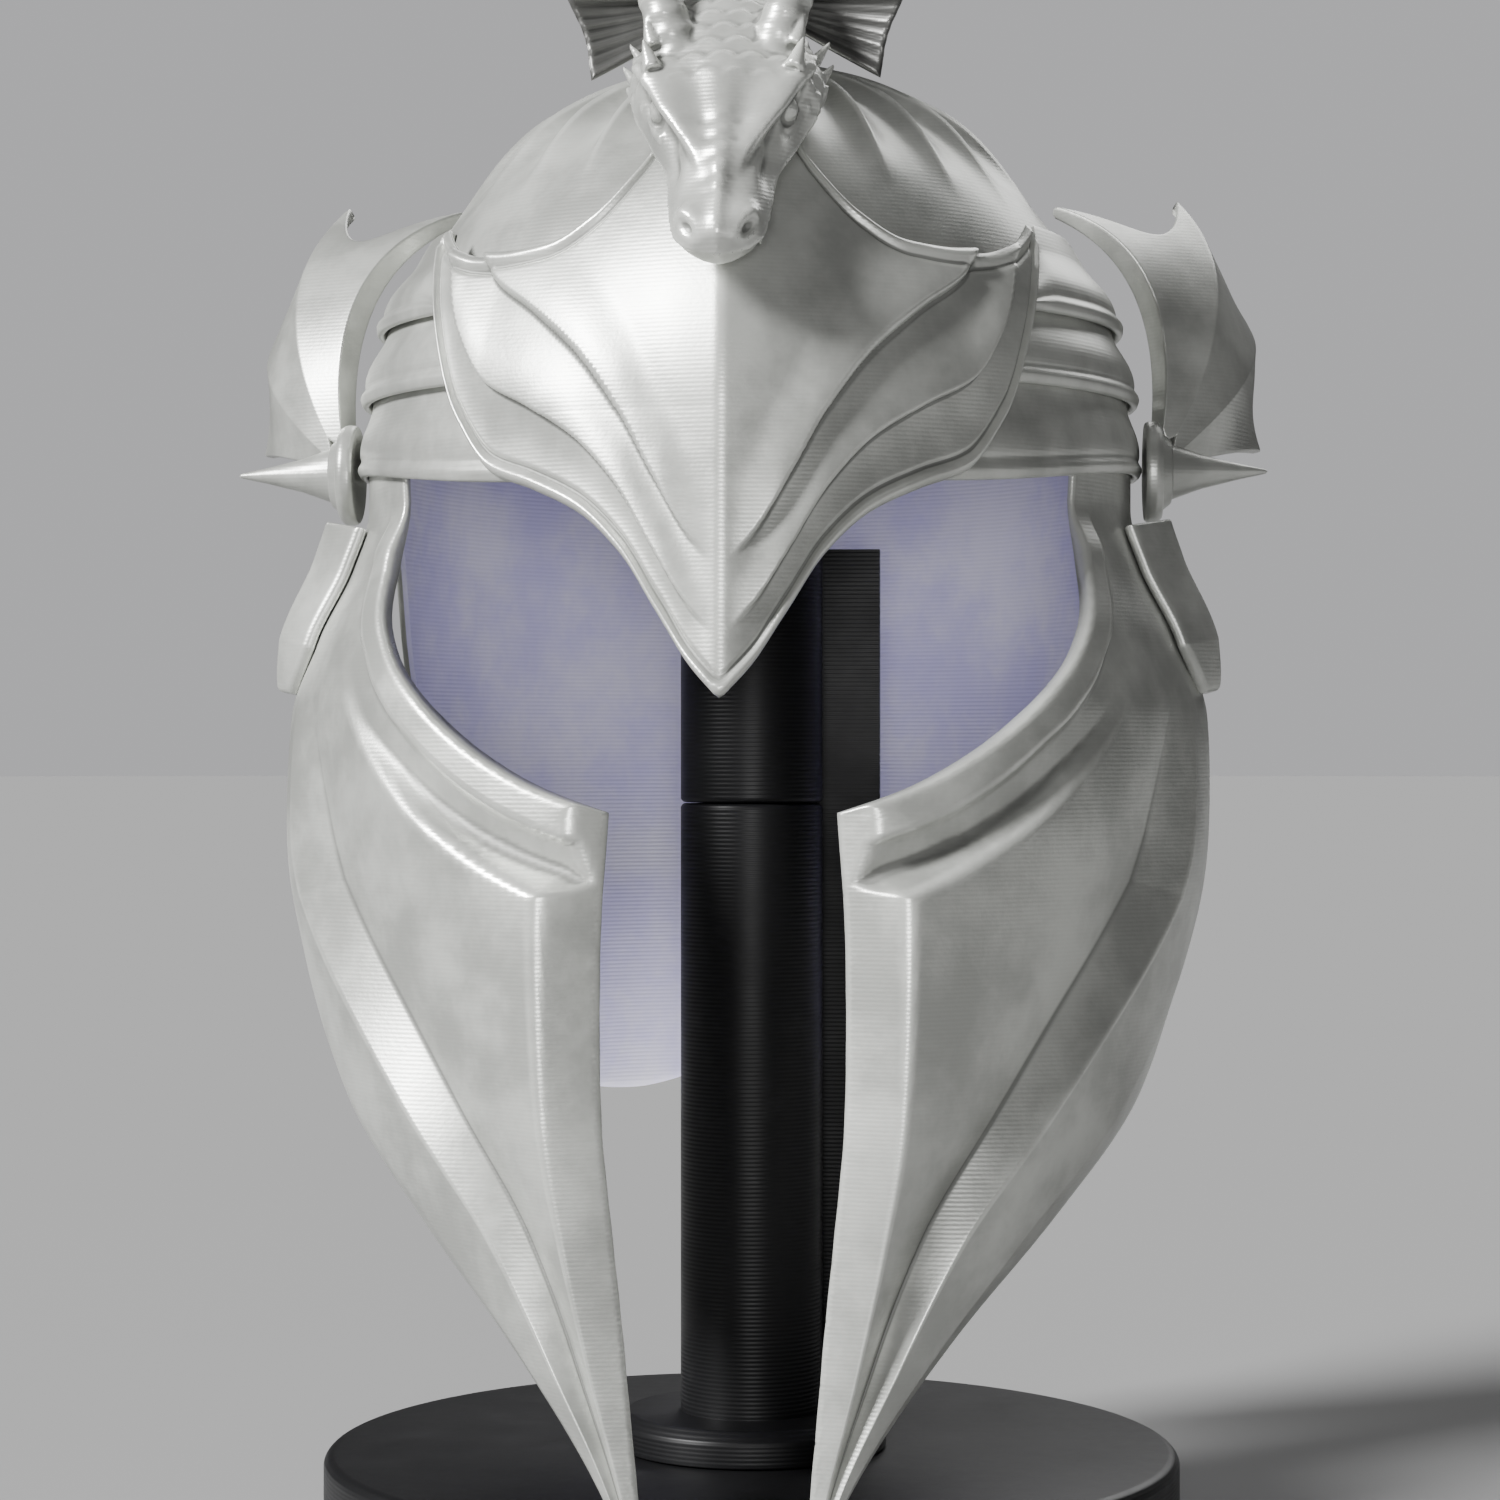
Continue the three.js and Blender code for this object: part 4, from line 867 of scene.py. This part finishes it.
def turned(profile, sides):
    """Points and faces of a profile of radius and height turned round the Z axis and closed at both ends."""
    profile = np.array(profile, float)
    angle = np.linspace(0, 2 * np.pi, sides, endpoint=False)
    ring = np.stack([np.cos(angle), np.sin(angle)], -1)
    body = np.concatenate(
        [profile[:, None, :1] * ring, np.broadcast_to(profile[:, None, 1:], (len(profile), sides, 1))], -1
    ).reshape(-1, 3)
    points = np.concatenate([body, [[0, 0, profile[0, 1]], [0, 0, profile[-1, 1]]]])
    here = np.arange(sides)
    after, last, low = np.roll(here, -1), (len(profile) - 1) * sides, len(body)
    caps = [
        np.stack([after, here, np.full(sides, low)], -1),
        np.stack([last + here, last + after, np.full(sides, low + 1)], -1),
    ]
    return points, [grid_faces(len(profile), sides, 0, True), *caps]


def rounded_profile(corners, radius=0.6, pieces=4):
    """A profile of radius and height with each inner corner cut by a small quadratic curve."""
    corners = np.array(corners, float)
    out = [corners[0]]
    for before, corner, after in zip(corners, corners[1:], corners[2:]):
        r = min(radius, 0.45 * np.linalg.norm(corner - before), 0.45 * np.linalg.norm(after - corner))
        a, b = corner + unit(before - corner) * r, corner + unit(after - corner) * r
        for t in np.linspace(0, 1, pieces + 1):
            out.append(a * (1 - t) ** 2 + corner * 2 * t * (1 - t) + b * t * t)
    return [*out, corners[-1]]


# %% Bosses and spurs
# The boss from its foot to its spike's tip, as shares of its radius and its length.
BOSS = {
    "radius": [0.96, 1, 1, 0.9, 0.8, 0.62, 0.55, 0.34, 0.16, 0.0429],
    "height": [0, 0.03, 0.1, 0.15, 0.13, 0.22, 0.22, 0.46, 0.76, 0.985],
}
SPUR_LENGTH, SPUR_WIDTH, SPUR_THICKNESS, SPUR_RIDGE, SPUR_SEAT, SPUR_MIDDLE = 45, 32, 3, 8, 3, 80


def boss():
    """A dished washer and a spike, turned on one axis and pointed away from the temple."""
    body = zip(np.array(BOSS["radius"]) * BOSS_RADIUS, np.array(BOSS["height"]) * BOSS_LENGTH)
    points, faces = turned(rounded_profile([(AXIS, 0), *body, (AXIS, BOSS_LENGTH)], 0.8), 72)
    return points[:, [2, 0, 1]] + [TEMPLE + BOSS_STANDOFF, ROOT[1], ROOT[2]], faces


def spur():
    """A tongue on the jaw's surface: its width follows a square root, and a keel runs down its middle."""
    up, across = spread(80, 0.02)[:, None], spread(44, 0.03)[None, :]
    z = -BOSS_DROP - BOSS_RADIUS - SPUR_SEAT - SPUR_LENGTH * (1 - up)
    taper = np.sqrt(np.clip(up * 3 + 0.18, 0, 1)) * (0.78 + 0.22 * up)
    angle = np.radians(SPUR_MIDDLE) + SPUR_WIDTH / JAW_WIDTH * (across - 0.5) * taper
    points = lifted(jaw, angle, z + 0 * across, GAP + 0 * angle)
    crest = SPUR_RIDGE * (1 - np.abs(2 * across - 1)) * taper
    return plate_mesh(points, SPUR_THICKNESS + crest, 1.2)


settle_pair("boss_{}", "boss_{}", boss())
settle_pair("spur_{}", "spur_{}", spur())

# %% [markdown]
# ## The dragon's head
# The head is one casting with its horns and neck. It could be sculpted by hand with brushes. Here each form
# is a closed surface of its own: a loft for the head, tubes for horns and neck, cones for spikes. The head
# is drawn along its own line, nose down over the brow, and then placed on the helmet. It starts from a table
# of half widths and heights, and soft bumps and hollows are laid on that.

# %% Head: measures
HEAD_LENGTH, HEAD_WIDTH, HEAD_FORWARD, HEAD_RISE = 82, 44, 113, 68
HEAD_PITCH = math.radians(52)
HORN_LENGTH, HORN_RADIUS, NECK_RADIUS = 62, 6, 15
FRILL_CENTRE = np.array([0.0, -58, 115])
HEAD = {
    "along": [-0.5, -0.36, -0.16, 0, 0.14, 0.32, 0.42, 0.475, 0.5],
    "half": [0.36, 0.46, 0.5, 0.41, 0.31, 0.27, 0.24, 0.16, 0.02],
    "top": [0.28, 0.34, 0.33, 0.26, 0.19, 0.17, 0.16, 0.12, 0.01],
    "bottom": [0.3, 0.34, 0.34, 0.31, 0.27, 0.22, 0.17, 0.12, 0.02],
}
# The brow ridge over each eye: how far round from the top it runs at each share along.
RIDGE = {"along": [-0.46, -0.3, -0.12, 0.04, 0.2, 0.3], "round": [1.3, 1.12, 0.9, 0.68, 0.42, 0.3]}
# Soft bumps and hollows: where along and round from the top, how wide, and how high in millimetres.
BUMPS = [
    # along, its width, round, its width, height
    (-0.25, 0.09, 1.8, 0.4, 3.4),
    (-0.31, 0.07, 0.95, 0.3, -2.0),
    (-0.06, 0.06, 1.22, 0.26, -4.4),
    (0.06, 0.05, 1.0, 0.24, -1.6),
    (0.15, 0.1, 1.25, 0.32, -2.6),
    (0.4, 0.05, 0.75, 0.3, 2.4),
    (0.435, 0.022, 0.9, 0.16, -3.0),
    (0.16, 0.26, 0, 0.22, 2.6),
    (0.37, 0.07, math.pi, 0.5, 1.6),
]
RIDGE_RISE, MOUTH_DEPTH, LIP_RISE, SCALE_RISE = 4.6, 2.0, 1.0, 0.9
HEAD_SIDES = 180


def from_head(side, forward, up):
    """A place in the head's own frame, side, forward along the snout and up off it, in the helmet's."""
    side, forward, up = np.broadcast_arrays(*(np.asarray(v, float) for v in (side, forward, up)))
    along, off = math.cos(HEAD_PITCH), math.sin(HEAD_PITCH)
    return np.stack(
        [side, -HEAD_FORWARD - forward * along - up * off, HEAD_RISE - forward * off + up * along], -1
    )


print("the snout ends at", from_head(0, HEAD_LENGTH / 2, 0).round(1))


# %% Scales and lofts
def scales(along, across, long, wide):
    """Overlapping scales in staggered rows, from 0 to 1: each rises towards its rounded free edge."""
    row = np.floor(along / long)
    down = along / long - row
    over = across / wide + 0.5 * (row % 2)
    over = np.abs(over - np.round(over)) * 2
    edge = 0.86 - 0.5 * over**2
    climb = 0.2 + 0.8 * np.minimum(down / edge, 1) ** 1.3
    return (climb - 0.85 * smooth(down - edge, 0, 0.14)) * (1 - 0.35 * over**3)


def loft_faces(rings, sides):
    """Faces of a closed loft: quads between its rings, and a fan at each end to the last two points."""
    here = np.arange(sides)
    after, last = np.roll(here, -1), (rings - 1) * sides
    low = rings * sides
    return [
        grid_faces(rings, sides, 0, True),
        np.stack([after, here, np.full(sides, low)], -1),
        np.stack([last + here, last + after, np.full(sides, low + 1)], -1),
    ]


def closed(body):
    """A loft's points with the middle of each end added."""
    return np.concatenate([body.reshape(-1, 3), body[:1].mean(1), body[-1:].mean(1)])


# %% Head: the main form
def head_form():
    """A squared ellipse per section, with the bumps, ridges, mouth and scales added outwards."""
    nose = 0.46 + 0.04 * np.sin(np.linspace(0, np.pi / 2, 21)[1:])
    along = np.concatenate([np.linspace(-0.5, 0.46, 190), nose])[:, None]
    turn = np.linspace(0, 2 * np.pi, HEAD_SIDES, endpoint=False)[None, :]
    cosine, sine = np.cos(turn), np.sin(turn)
    from_top = np.abs(np.arctan2(cosine, sine))
    out = sum(h * hill(along, a, wa) * hill(from_top, r, wr) for a, wa, r, wr, h in BUMPS)
    # Brow ridges, steep above and shallow below, and wrinkles between them on the snout.
    past = from_top - read(RIDGE, "along", "round", along)
    ridge = hill(past, 0, np.where(past > 0, 0.13, 0.3))
    out = out + RIDGE_RISE * ridge * smooth(along, -0.44, -0.2) * (1 - smooth(along, 0.02, 0.3))
    wrinkles = 0.5 * hill(from_top, 0, 0.45) * smooth(along, 0.0, 0.1) * (1 - smooth(along, 0.3, 0.38))
    out = out - wrinkles * np.abs(np.cos(along * 46)) ** 3
    # The mouth's line with a lip over it, from the cheek forwards.
    mouth = 2.05 - 0.22 * smooth(along, -0.2, 0.5) - 0.35 * hill(along, -0.2, 0.08)
    lips = LIP_RISE * hill(from_top, mouth - 0.2, 0.1) - MOUTH_DEPTH * hill(from_top, mouth, 0.06)
    out = out + lips * smooth(along, -0.2, -0.12)
    rear = smooth(-along, 0.04, 0.16) * smooth(-from_top, -2.6, -2.2)
    out = out + SCALE_RISE * rear * scales(-along * HEAD_LENGTH, turn * 19, 5.2, 6.0)
    square = 2 / (2.1 - 0.3 * smooth(along, 0, 0.3))
    tall = np.where(sine > 0, read(HEAD, "along", "top", along), read(HEAD, "along", "bottom", along))
    side = HEAD_WIDTH * read(HEAD, "along", "half", along) * np.sign(cosine) * np.abs(cosine) ** square
    up = HEAD_WIDTH * tall * np.sign(sine) * np.abs(sine) ** square
    grow = 1 + out / np.hypot(side, up)
    shaped = from_head(side * grow, HEAD_LENGTH * along, up * grow)
    return closed(shaped), loft_faces(len(along), HEAD_SIDES)


print("the head has", HEAD_SIDES, "points round each section")

# %% [markdown]
# Horns, neck and spikes are tubes: rings of points round a path, each turned to stand square to it. A horn's
# path is one bent curve, and the neck's runs smoothly through chosen stops. A pattern of the length along
# and the angle round adds the horn's rings and the neck's scales. A ball is a tube too, with a half circle
# for its radius.

# %% Head: tubes and cones
def bezier(start, bend, end, count):
    """A quadratic curve of points from start past bend to end."""
    t = np.linspace(0, 1, count)[:, None]
    return start * (1 - t) ** 2 + bend * 2 * t * (1 - t) + end * t * t


def through(stops, count):
    """A smooth curve through the stops: a cubic between each two, with the slope of their neighbours."""
    stops = np.array(stops)
    ends = np.concatenate([2 * stops[:1] - stops[1:2], stops, 2 * stops[-1:] - stops[-2:-1]])
    t = np.linspace(0, len(stops) - 1 - 1e-9, count)
    i, s = t.astype(int), (t % 1)[:, None]
    a, b, c, d = (ends[i + k] for k in range(4))
    return 0.5 * (2 * b + (c - a) * s + (2 * a - 5 * b + 4 * c - d) * s**2 + (3 * b - a - 3 * c + d) * s**3)


def tube(path, radius, sides, pattern=None):
    """Rings of points round a path. A pattern adds to the radius, from the length along and the angle."""
    tangent = unit(np.gradient(path, axis=0))
    across = np.array([1.0, 0, 0]) - tangent * tangent[:, :1]
    first = unit(across)
    second = np.cross(tangent, first)
    turn = np.linspace(0, 2 * np.pi, sides, endpoint=False)
    radius = np.broadcast_to(radius, len(path))[:, None] + 0 * turn
    if pattern is not None:
        length = np.concatenate([[0], np.linalg.norm(np.diff(path, axis=0), axis=-1).cumsum()])
        radius = radius + pattern(length[:, None], turn[None, :])
    round_it = np.cos(turn)[:, None] * first[:, None] + np.sin(turn)[:, None] * second[:, None]
    return closed(path[:, None] + radius[..., None] * round_it), loft_faces(len(path), sides)


def ball(centre, radius, count=24):
    """A round ball, as a tube whose radius follows a half circle."""
    t = np.linspace(0.02, np.pi - 0.02, count)
    path = np.asarray(centre) + np.stack([0 * t, 0 * t, -radius * np.cos(t)], -1)
    return tube(path, radius * np.sin(t), count)


def spike(start, tip, radius):
    """A cone with a slightly hollow side."""
    t = np.linspace(0, 1, 16)[:, None]
    return tube(start * (1 - t) + tip * t, radius * (1 - t[:, 0]) ** 0.85 + 0.25, 16)


print("a 3 mm ball has", len(ball([0, 0, 0], 3)[0]), "points")

# %% Horns, eyes, spikes and neck
# Spikes on each side: foot and tip, each sideways, along and up as shares of the head's width, length and
# width, and the radius at the foot. The first three stand along the jaw, the last two are fangs.
SPIKES = [
    ((0.41, -0.3, -0.08), (0.59, -0.45, -0.02), 2.6),
    ((0.44, -0.2, -0.08), (0.62, -0.35, -0.02), 2.6),
    ((0.41, -0.1, -0.08), (0.59, -0.25, -0.02), 2.6),
    ((0.215, 0.36, -0.02), (0.225, 0.375, -0.17), 1.5),
    ((0.25, 0.2, -0.02), (0.26, 0.215, -0.17), 1.5),
]
# Spikes along the brow: their shares along the head, and the way they point in millimetres.
BROW_SPIKES, BROW_SPIKE_WAY = (-0.34, -0.24, -0.14), np.array([2.5, -7, 4])
HORN_RINGS, NECK_RINGS = 90, 420


def in_head(side, shares):
    """A place given in shares of the head's width, length and width."""
    return from_head(*(np.array([side, 1, 1]) * shares * [HEAD_WIDTH, HEAD_LENGTH, HEAD_WIDTH]))


def horn_rings(length, turn):
    """Grooves round the horn, shallower towards its tip: minus the size of a sine of the length."""
    return -0.55 * np.abs(np.sin(length * 0.62)) * (1 - length / 80) + 0 * turn


def horn(side):
    """A tube that bends out and back, whose radius falls to its tip by a power of the rest."""
    back = HORN_LENGTH / HEAD_LENGTH
    stops = (0.27, -0.26, 0.2), (0.5, -0.45 - 0.15 * back, 0.66), (0.85, -0.45 - 0.72 * back, 0.62)
    path = bezier(*(in_head(side, stop) for stop in stops), HORN_RINGS)
    return tube(path, HORN_RADIUS * (1 - np.linspace(0, 1, HORN_RINGS)) ** 0.8 + 0.7, 40, horn_rings)


def one_side(side):
    """Horn, eye, cheekbone, spikes and fangs of one side of the head."""
    cheekbone = (0.43, -0.14, 0.04), (0.4, -0.03, -0.02), (0.33, 0.04, 0.06)
    parts = [
        horn(side),
        ball(in_head(side, (0.345, -0.06, 0.11)), 3.4),
        tube(bezier(*(in_head(side, stop) for stop in cheekbone), 60), 1.5, 16),
    ]
    for foot, tip, radius in SPIKES:
        parts.append(spike(in_head(side, foot), in_head(side, tip), radius))
    for along in BROW_SPIKES:
        foot = in_head(side, (0.4, along, 0.29))
        way = from_head(*(BROW_SPIKE_WAY * [side, 1, 1])) - from_head(0, 0, 0)
        parts.append(spike(foot, foot + way, 2.4))
    return parts


def neck_scales(length, turn):
    """Scales round the neck, which start a little under its surface."""
    return -0.8 + 1.3 * scales(length, turn * NECK_RADIUS, 7.0, 5.9)


def neck_form():
    """A scaled tube from the head through the frill and down into the crown."""
    front, top = FRILL_CENTRE[1:]
    stops = [
        in_head(1, (0, -0.3, 0)),
        FRILL_CENTRE + [0, -0.7 * NECK_RADIUS, -0.5],
        FRILL_CENTRE + [0, 0.7 * NECK_RADIUS, 0.5],
        np.array([0, 0.4 * front, CROWN + 0.4 * (top - CROWN)]),
        np.array([0, -0.12 * front, CROWN - 0.4 * NECK_RADIUS]),
    ]
    share = np.linspace(0, 1, NECK_RINGS)
    radius = NECK_RADIUS * (1 - 0.3 * smooth(share, 0.6, 1))
    return tube(through(stops, NECK_RINGS), radius, 200, neck_scales)


print("a horn is", len(horn(1)[0]), "points")

# %% [markdown]
# A fine voxel remesh melts the closed forms into one skin, as clay is smeared over its joins. It leaves small
# steps, so each point is then moved half way to the mean of its neighbours, twice. A Boolean union would
# keep every join as a sharp line, which a casting doesn't have.

# %% Head: one skin
VOXEL, SMOOTHING_ROUNDS = 0.62, 2


def joined(parts):
    """Several meshes as one."""
    counts = np.cumsum([0] + [len(points) for points, _ in parts])
    faces = [face + start for (_, group), start in zip(parts, counts) for face in group]
    return np.concatenate([points for points, _ in parts]), faces


def melted(name, parts, voxel, materials):
    """One skin over overlapping closed forms: a voxel remesh in millimetres, then two rounds of smoothing."""
    rough = make_piece(name + "_rough", *joined(parts), materials)
    remesh = rough.modifiers.new("melt", "REMESH")
    remesh.mode = "VOXEL"
    remesh.voxel_size = voxel / 1000
    mesh = bpy.data.meshes.new_from_object(rough.evaluated_get(bpy.context.evaluated_depsgraph_get()))
    bpy.data.objects.remove(rough)
    count = len(mesh.vertices)
    points, ends = np.empty(count * 3), np.empty(len(mesh.edges) * 2, np.int32)
    mesh.vertices.foreach_get("co", points)
    mesh.edges.foreach_get("vertices", ends)
    points, (a, b) = points.reshape(-1, 3), ends.reshape(-1, 2).T
    number = (np.bincount(a, minlength=count) + np.bincount(b, minlength=count))[:, None]
    for _ in range(SMOOTHING_ROUNDS):
        total = np.stack(
            [np.bincount(a, points[b, k], count) + np.bincount(b, points[a, k], count) for k in range(3)], -1
        )
        points = 0.5 * points + 0.5 * total / number
    mesh.vertices.foreach_set("co", points.ravel())
    mesh.name = name
    mesh.materials.clear()
    for material in materials:
        mesh.materials.append(material)
    mesh.update()
    mesh.shade_smooth()
    piece = bpy.data.objects.new(name, mesh)
    bpy.context.scene.collection.objects.link(piece)
    return piece


forms = [head_form(), neck_form(), *one_side(1), *one_side(-1)]
settle(melted("dragon", forms, VOXEL, [PALE_SILVER]), "dragon_head", 2.6)

# %% [markdown]
# ## Frill
# A round, ribbed frill stands behind the head like a collar, in much darker paint. It is a sheet on a grid,
# dished by the square of the distance from its middle. Folding a flat disc with modifiers would crease it,
# and here the sag between two ribs is one sine.

# %% Frill
FRILL = {"radius": 45, "thick": 2.6, "dish": 7, "spread": math.radians(122), "ribs": 8, "sink": 2}


def frill():
    """A fan round the neck: ridges where the ribs run, drawn in and sunk back between them."""
    up, across = spread(70, 0.015)[:, None], spread(220, 0.005)[None, :]
    turn = -FRILL["spread"] * (1 - 2 * across)
    valley = 1 - np.abs((across * FRILL["ribs"]) % 1 * 2 - 1)
    sag = np.sin(valley * np.pi / 2)
    radius = NECK_RADIUS + GAP + (FRILL["radius"] * (1 - 0.07 * sag) - NECK_RADIUS - GAP) * up
    forward = FRILL["dish"] * up**2 - FRILL["sink"] * sag * up
    points = np.stack([radius * np.sin(turn), -forward, radius * np.cos(turn) + 0 * up], -1) + FRILL_CENTRE
    rib = 1.1 * (1 - smooth(valley, 0.05, 0.3))
    fold = 0.35 * np.cos(valley * 18) * up * smooth(valley, 0.3, 0.5)
    return plate_mesh(points, FRILL["thick"] - 1.0 + rib + fold, 1.1)


settle(make_piece("frill", *frill(), [DARK_SILVER]), "neck_frill", 2.2)

# %% [markdown]
# ## Spine
# A bar of rounded vertebrae runs from the crown down the back, smaller and smaller. A row of copies would
# leave gaps on the curved shell, so it is one closed tube whose height is a row of half sines.

# %% Spine
SPINE = {"half": 5, "height": 6, "start": 0.86, "end": -0.12, "bones": 15, "foot": 0.4}
SPINE_RINGS, SPINE_SIDES = 260, 48


def spine():
    """Half an ellipse across, its height a row of soft vertebrae, carried down the skull's middle line."""
    share = np.linspace(0, 1, SPINE_RINGS)[:, None]
    turn = np.linspace(0, 2 * np.pi, SPINE_SIDES, endpoint=False)[None, :]
    level = SPINE["start"] + (SPINE["end"] - SPINE["start"]) * share
    foot = skull(np.pi + 0 * level, level)
    out = unit(lifted(skull, np.pi + 0 * level, level, 1 + 0 * level) - foot)
    bone = np.abs(np.sin(np.pi * SPINE["bones"] * share)) ** 0.7
    shrink = 1 - 0.4 * share
    tall = SPINE["height"] * shrink * (0.62 + 0.38 * bone)
    wide = SPINE["half"] * shrink * (0.78 + 0.22 * bone)
    up = np.maximum(np.sin(turn), -0.35)
    sides = np.stack([wide * np.cos(turn), 0 * wide * turn, 0 * wide * turn], -1)
    body = foot + out * (GAP + SPINE["foot"] + (tall - SPINE["foot"]) * up)[..., None] + sides
    return closed(body), [f[:, ::-1] for f in loft_faces(SPINE_RINGS, SPINE_SIDES)]


settle(make_piece("spine_bar", *spine(), [SILVER]), "crest_spine", 2.2)

# %% [markdown]
# ## The stand
# The stand is printed in black: a disc, a collar, a two-part post and a flat rail. Turned profiles with
# small rounded corners catch a line of light that a sharp CAD edge doesn't. The rail and the hidden pad
# keep their CAD shapes and only get the black finish.

# %% Stand
BASE_RADIUS, BASE_HEIGHT, BASE_CHAMFER = 120, 25, 2
COLLAR_RADIUS, COLLAR_HEIGHT, COLLAR_CHAMFER = 38, 10, 3
POST_RADIUS, POST_JOINT, POST_CHAMFER, PAD_FLOOR = 20, 206, 0.8, 82
FLOOR_PLACE = np.zeros(3)


def stand_piece(name, node, corners, radius=0.8):
    """A black turned piece that stands where its CAD node does."""
    points, faces = turned(rounded_profile(corners, radius), 160)
    settle(make_piece(name, points, faces, [BLACK], FLOOR_PLACE), node)


def chamfered(radius, low, high, cut):
    """The profile of a solid round block whose two rims are cut back by so much."""
    return [(AXIS, low), (radius - cut, low), (radius, low + cut),
            (radius, high - cut), (radius - cut, high), (AXIS, high)]


stand_piece("base_disc", "stand_base", chamfered(BASE_RADIUS, 0, BASE_HEIGHT, BASE_CHAMFER), 1.5)
foot = BASE_HEIGHT + GAP
hole, rim, top = POST_RADIUS + GAP, COLLAR_RADIUS - COLLAR_CHAMFER, foot + COLLAR_HEIGHT
collar = [(hole, foot), (COLLAR_RADIUS, foot), (COLLAR_RADIUS, top - COLLAR_CHAMFER), (rim, top), (hole, top)]
stand_piece("collar_ring", "stand_collar", collar)
for name, node, low, high in (
    ("post_low", "stand_post_lower", foot, POST_JOINT),
    ("post_high", "stand_post_upper", POST_JOINT + GAP, EARS.z * 1000 + PAD_FLOOR - GAP),
):
    stand_piece(name, node, chamfered(POST_RADIUS, low, high, POST_CHAMFER), 0.6)
for node in ("stand_rail", "stand_pad"):
    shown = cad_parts[node]
    shown.data.materials.clear()
    shown.data.materials.append(BLACK)

# %% [markdown]
# ## Studio
# A plain pale floor meets a plain pale sky. Sun lamps stand for large soft boxes far off, because their one
# angle says how soft a shadow is: the main one is to the left, as in the photo, a wide weak one is overhead,
# and one behind lights the edges. A small square light stands by the camera, and a tiny one on the base
# fills the inside from below. The sky is seen brighter than it shines, so that it doesn't flatten the paint.

# %% Floor
FLOOR_RADIUS, FLOOR_RIM, FLOOR_DEPTH = 30000, 100, 1
FLOOR_GREY, FLOOR_PATCH = colour(0.25, 0.25, 0.25), colour(0.235, 0.235, 0.235)


def floor():
    """A pale disc, large enough that its edge is lost in the distance."""
    s = Shader("floor", 0.9)
    s.surface.inputs["Specular IOR Level"].default_value = 0
    s.feed(s.surface.inputs["Base Color"], s.mix(s.noise(3, 2) * 0.2, FLOOR_GREY, FLOOR_PATCH))
    inner = FLOOR_RADIUS - FLOOR_RIM
    profile = [(AXIS, -FLOOR_DEPTH), (FLOOR_RADIUS, -FLOOR_DEPTH), (FLOOR_RADIUS, 0), (inner, 0), (AXIS, 0)]
    points, faces = turned(profile, 64)
    make_piece("floor", points, faces, [s.material], np.array([0, 0, -0.05]))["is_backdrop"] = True


floor()
print("the floor reaches", FLOOR_RADIUS // 1000, "m each way")


# %% Lights
def soft_light(name, where, size, power, aim):
    """A square area light that points at its aim and isn't seen itself."""
    data = bpy.data.lights.new(name, "AREA")
    data.shape, data.size, data.energy = "SQUARE", size, power
    light = bpy.data.objects.new(name, data)
    bpy.context.scene.collection.objects.link(light)
    light.location = where
    light.rotation_euler = (Vector(aim) - Vector(where)).to_track_quat("-Z", "Y").to_euler()
    light.visible_camera = False


def far_light(name, turn, height, power, softness):
    """A light so far off that its rays run one way: its turn from the front, height and width in degrees."""
    light = bpy.data.objects.new(name, bpy.data.lights.new(name, "SUN"))
    light.data.energy, light.data.angle = power, math.radians(softness)
    light.rotation_euler = (math.radians(90 - height), 0, math.radians(turn))
    bpy.context.scene.collection.objects.link(light)


far_light("key", turn=-56, height=32, power=10.5, softness=16)
far_light("overhead", turn=0, height=88, power=0.2, softness=60)
far_light("behind", turn=160, height=40, power=1.4, softness=40)
soft_light("front", where=(0.09, -1.6, 0.23), size=0.3, power=8, aim=(0, 0, 0.25))
soft_light("inside", where=(0, 0.045, 0.04), size=0.05, power=0.16, aim=(0, 0.085, 0.3))
print(len(bpy.data.lights), "lights")

# %% Sky
SKY_SHINES, SKY_SEEN = 0.05, 0.57

world = bpy.data.worlds.new("sky")
world.use_nodes = True
sky = world.node_tree.nodes["Background"]
seen = world.node_tree.nodes.new("ShaderNodeLightPath").outputs["Is Camera Ray"]
strength = world.node_tree.nodes.new("ShaderNodeMapRange")
strength.inputs["To Min"].default_value = SKY_SHINES
strength.inputs["To Max"].default_value = SKY_SEEN
world.node_tree.links.new(seen, strength.inputs["Value"])
world.node_tree.links.new(strength.outputs["Result"], sky.inputs["Strength"])
sky.inputs["Color"].default_value = colour(0.85, 0.85, 0.87)
bpy.context.scene.world = world
print("the sky looks", round(SKY_SEEN / SKY_SHINES), "times brighter than it shines")

# %% [markdown]
# ## Measure and finish
# The box that the dressed helmet fills is measured; the floor and the hidden CAD pieces are left out.

# %% Finish
low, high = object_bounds()
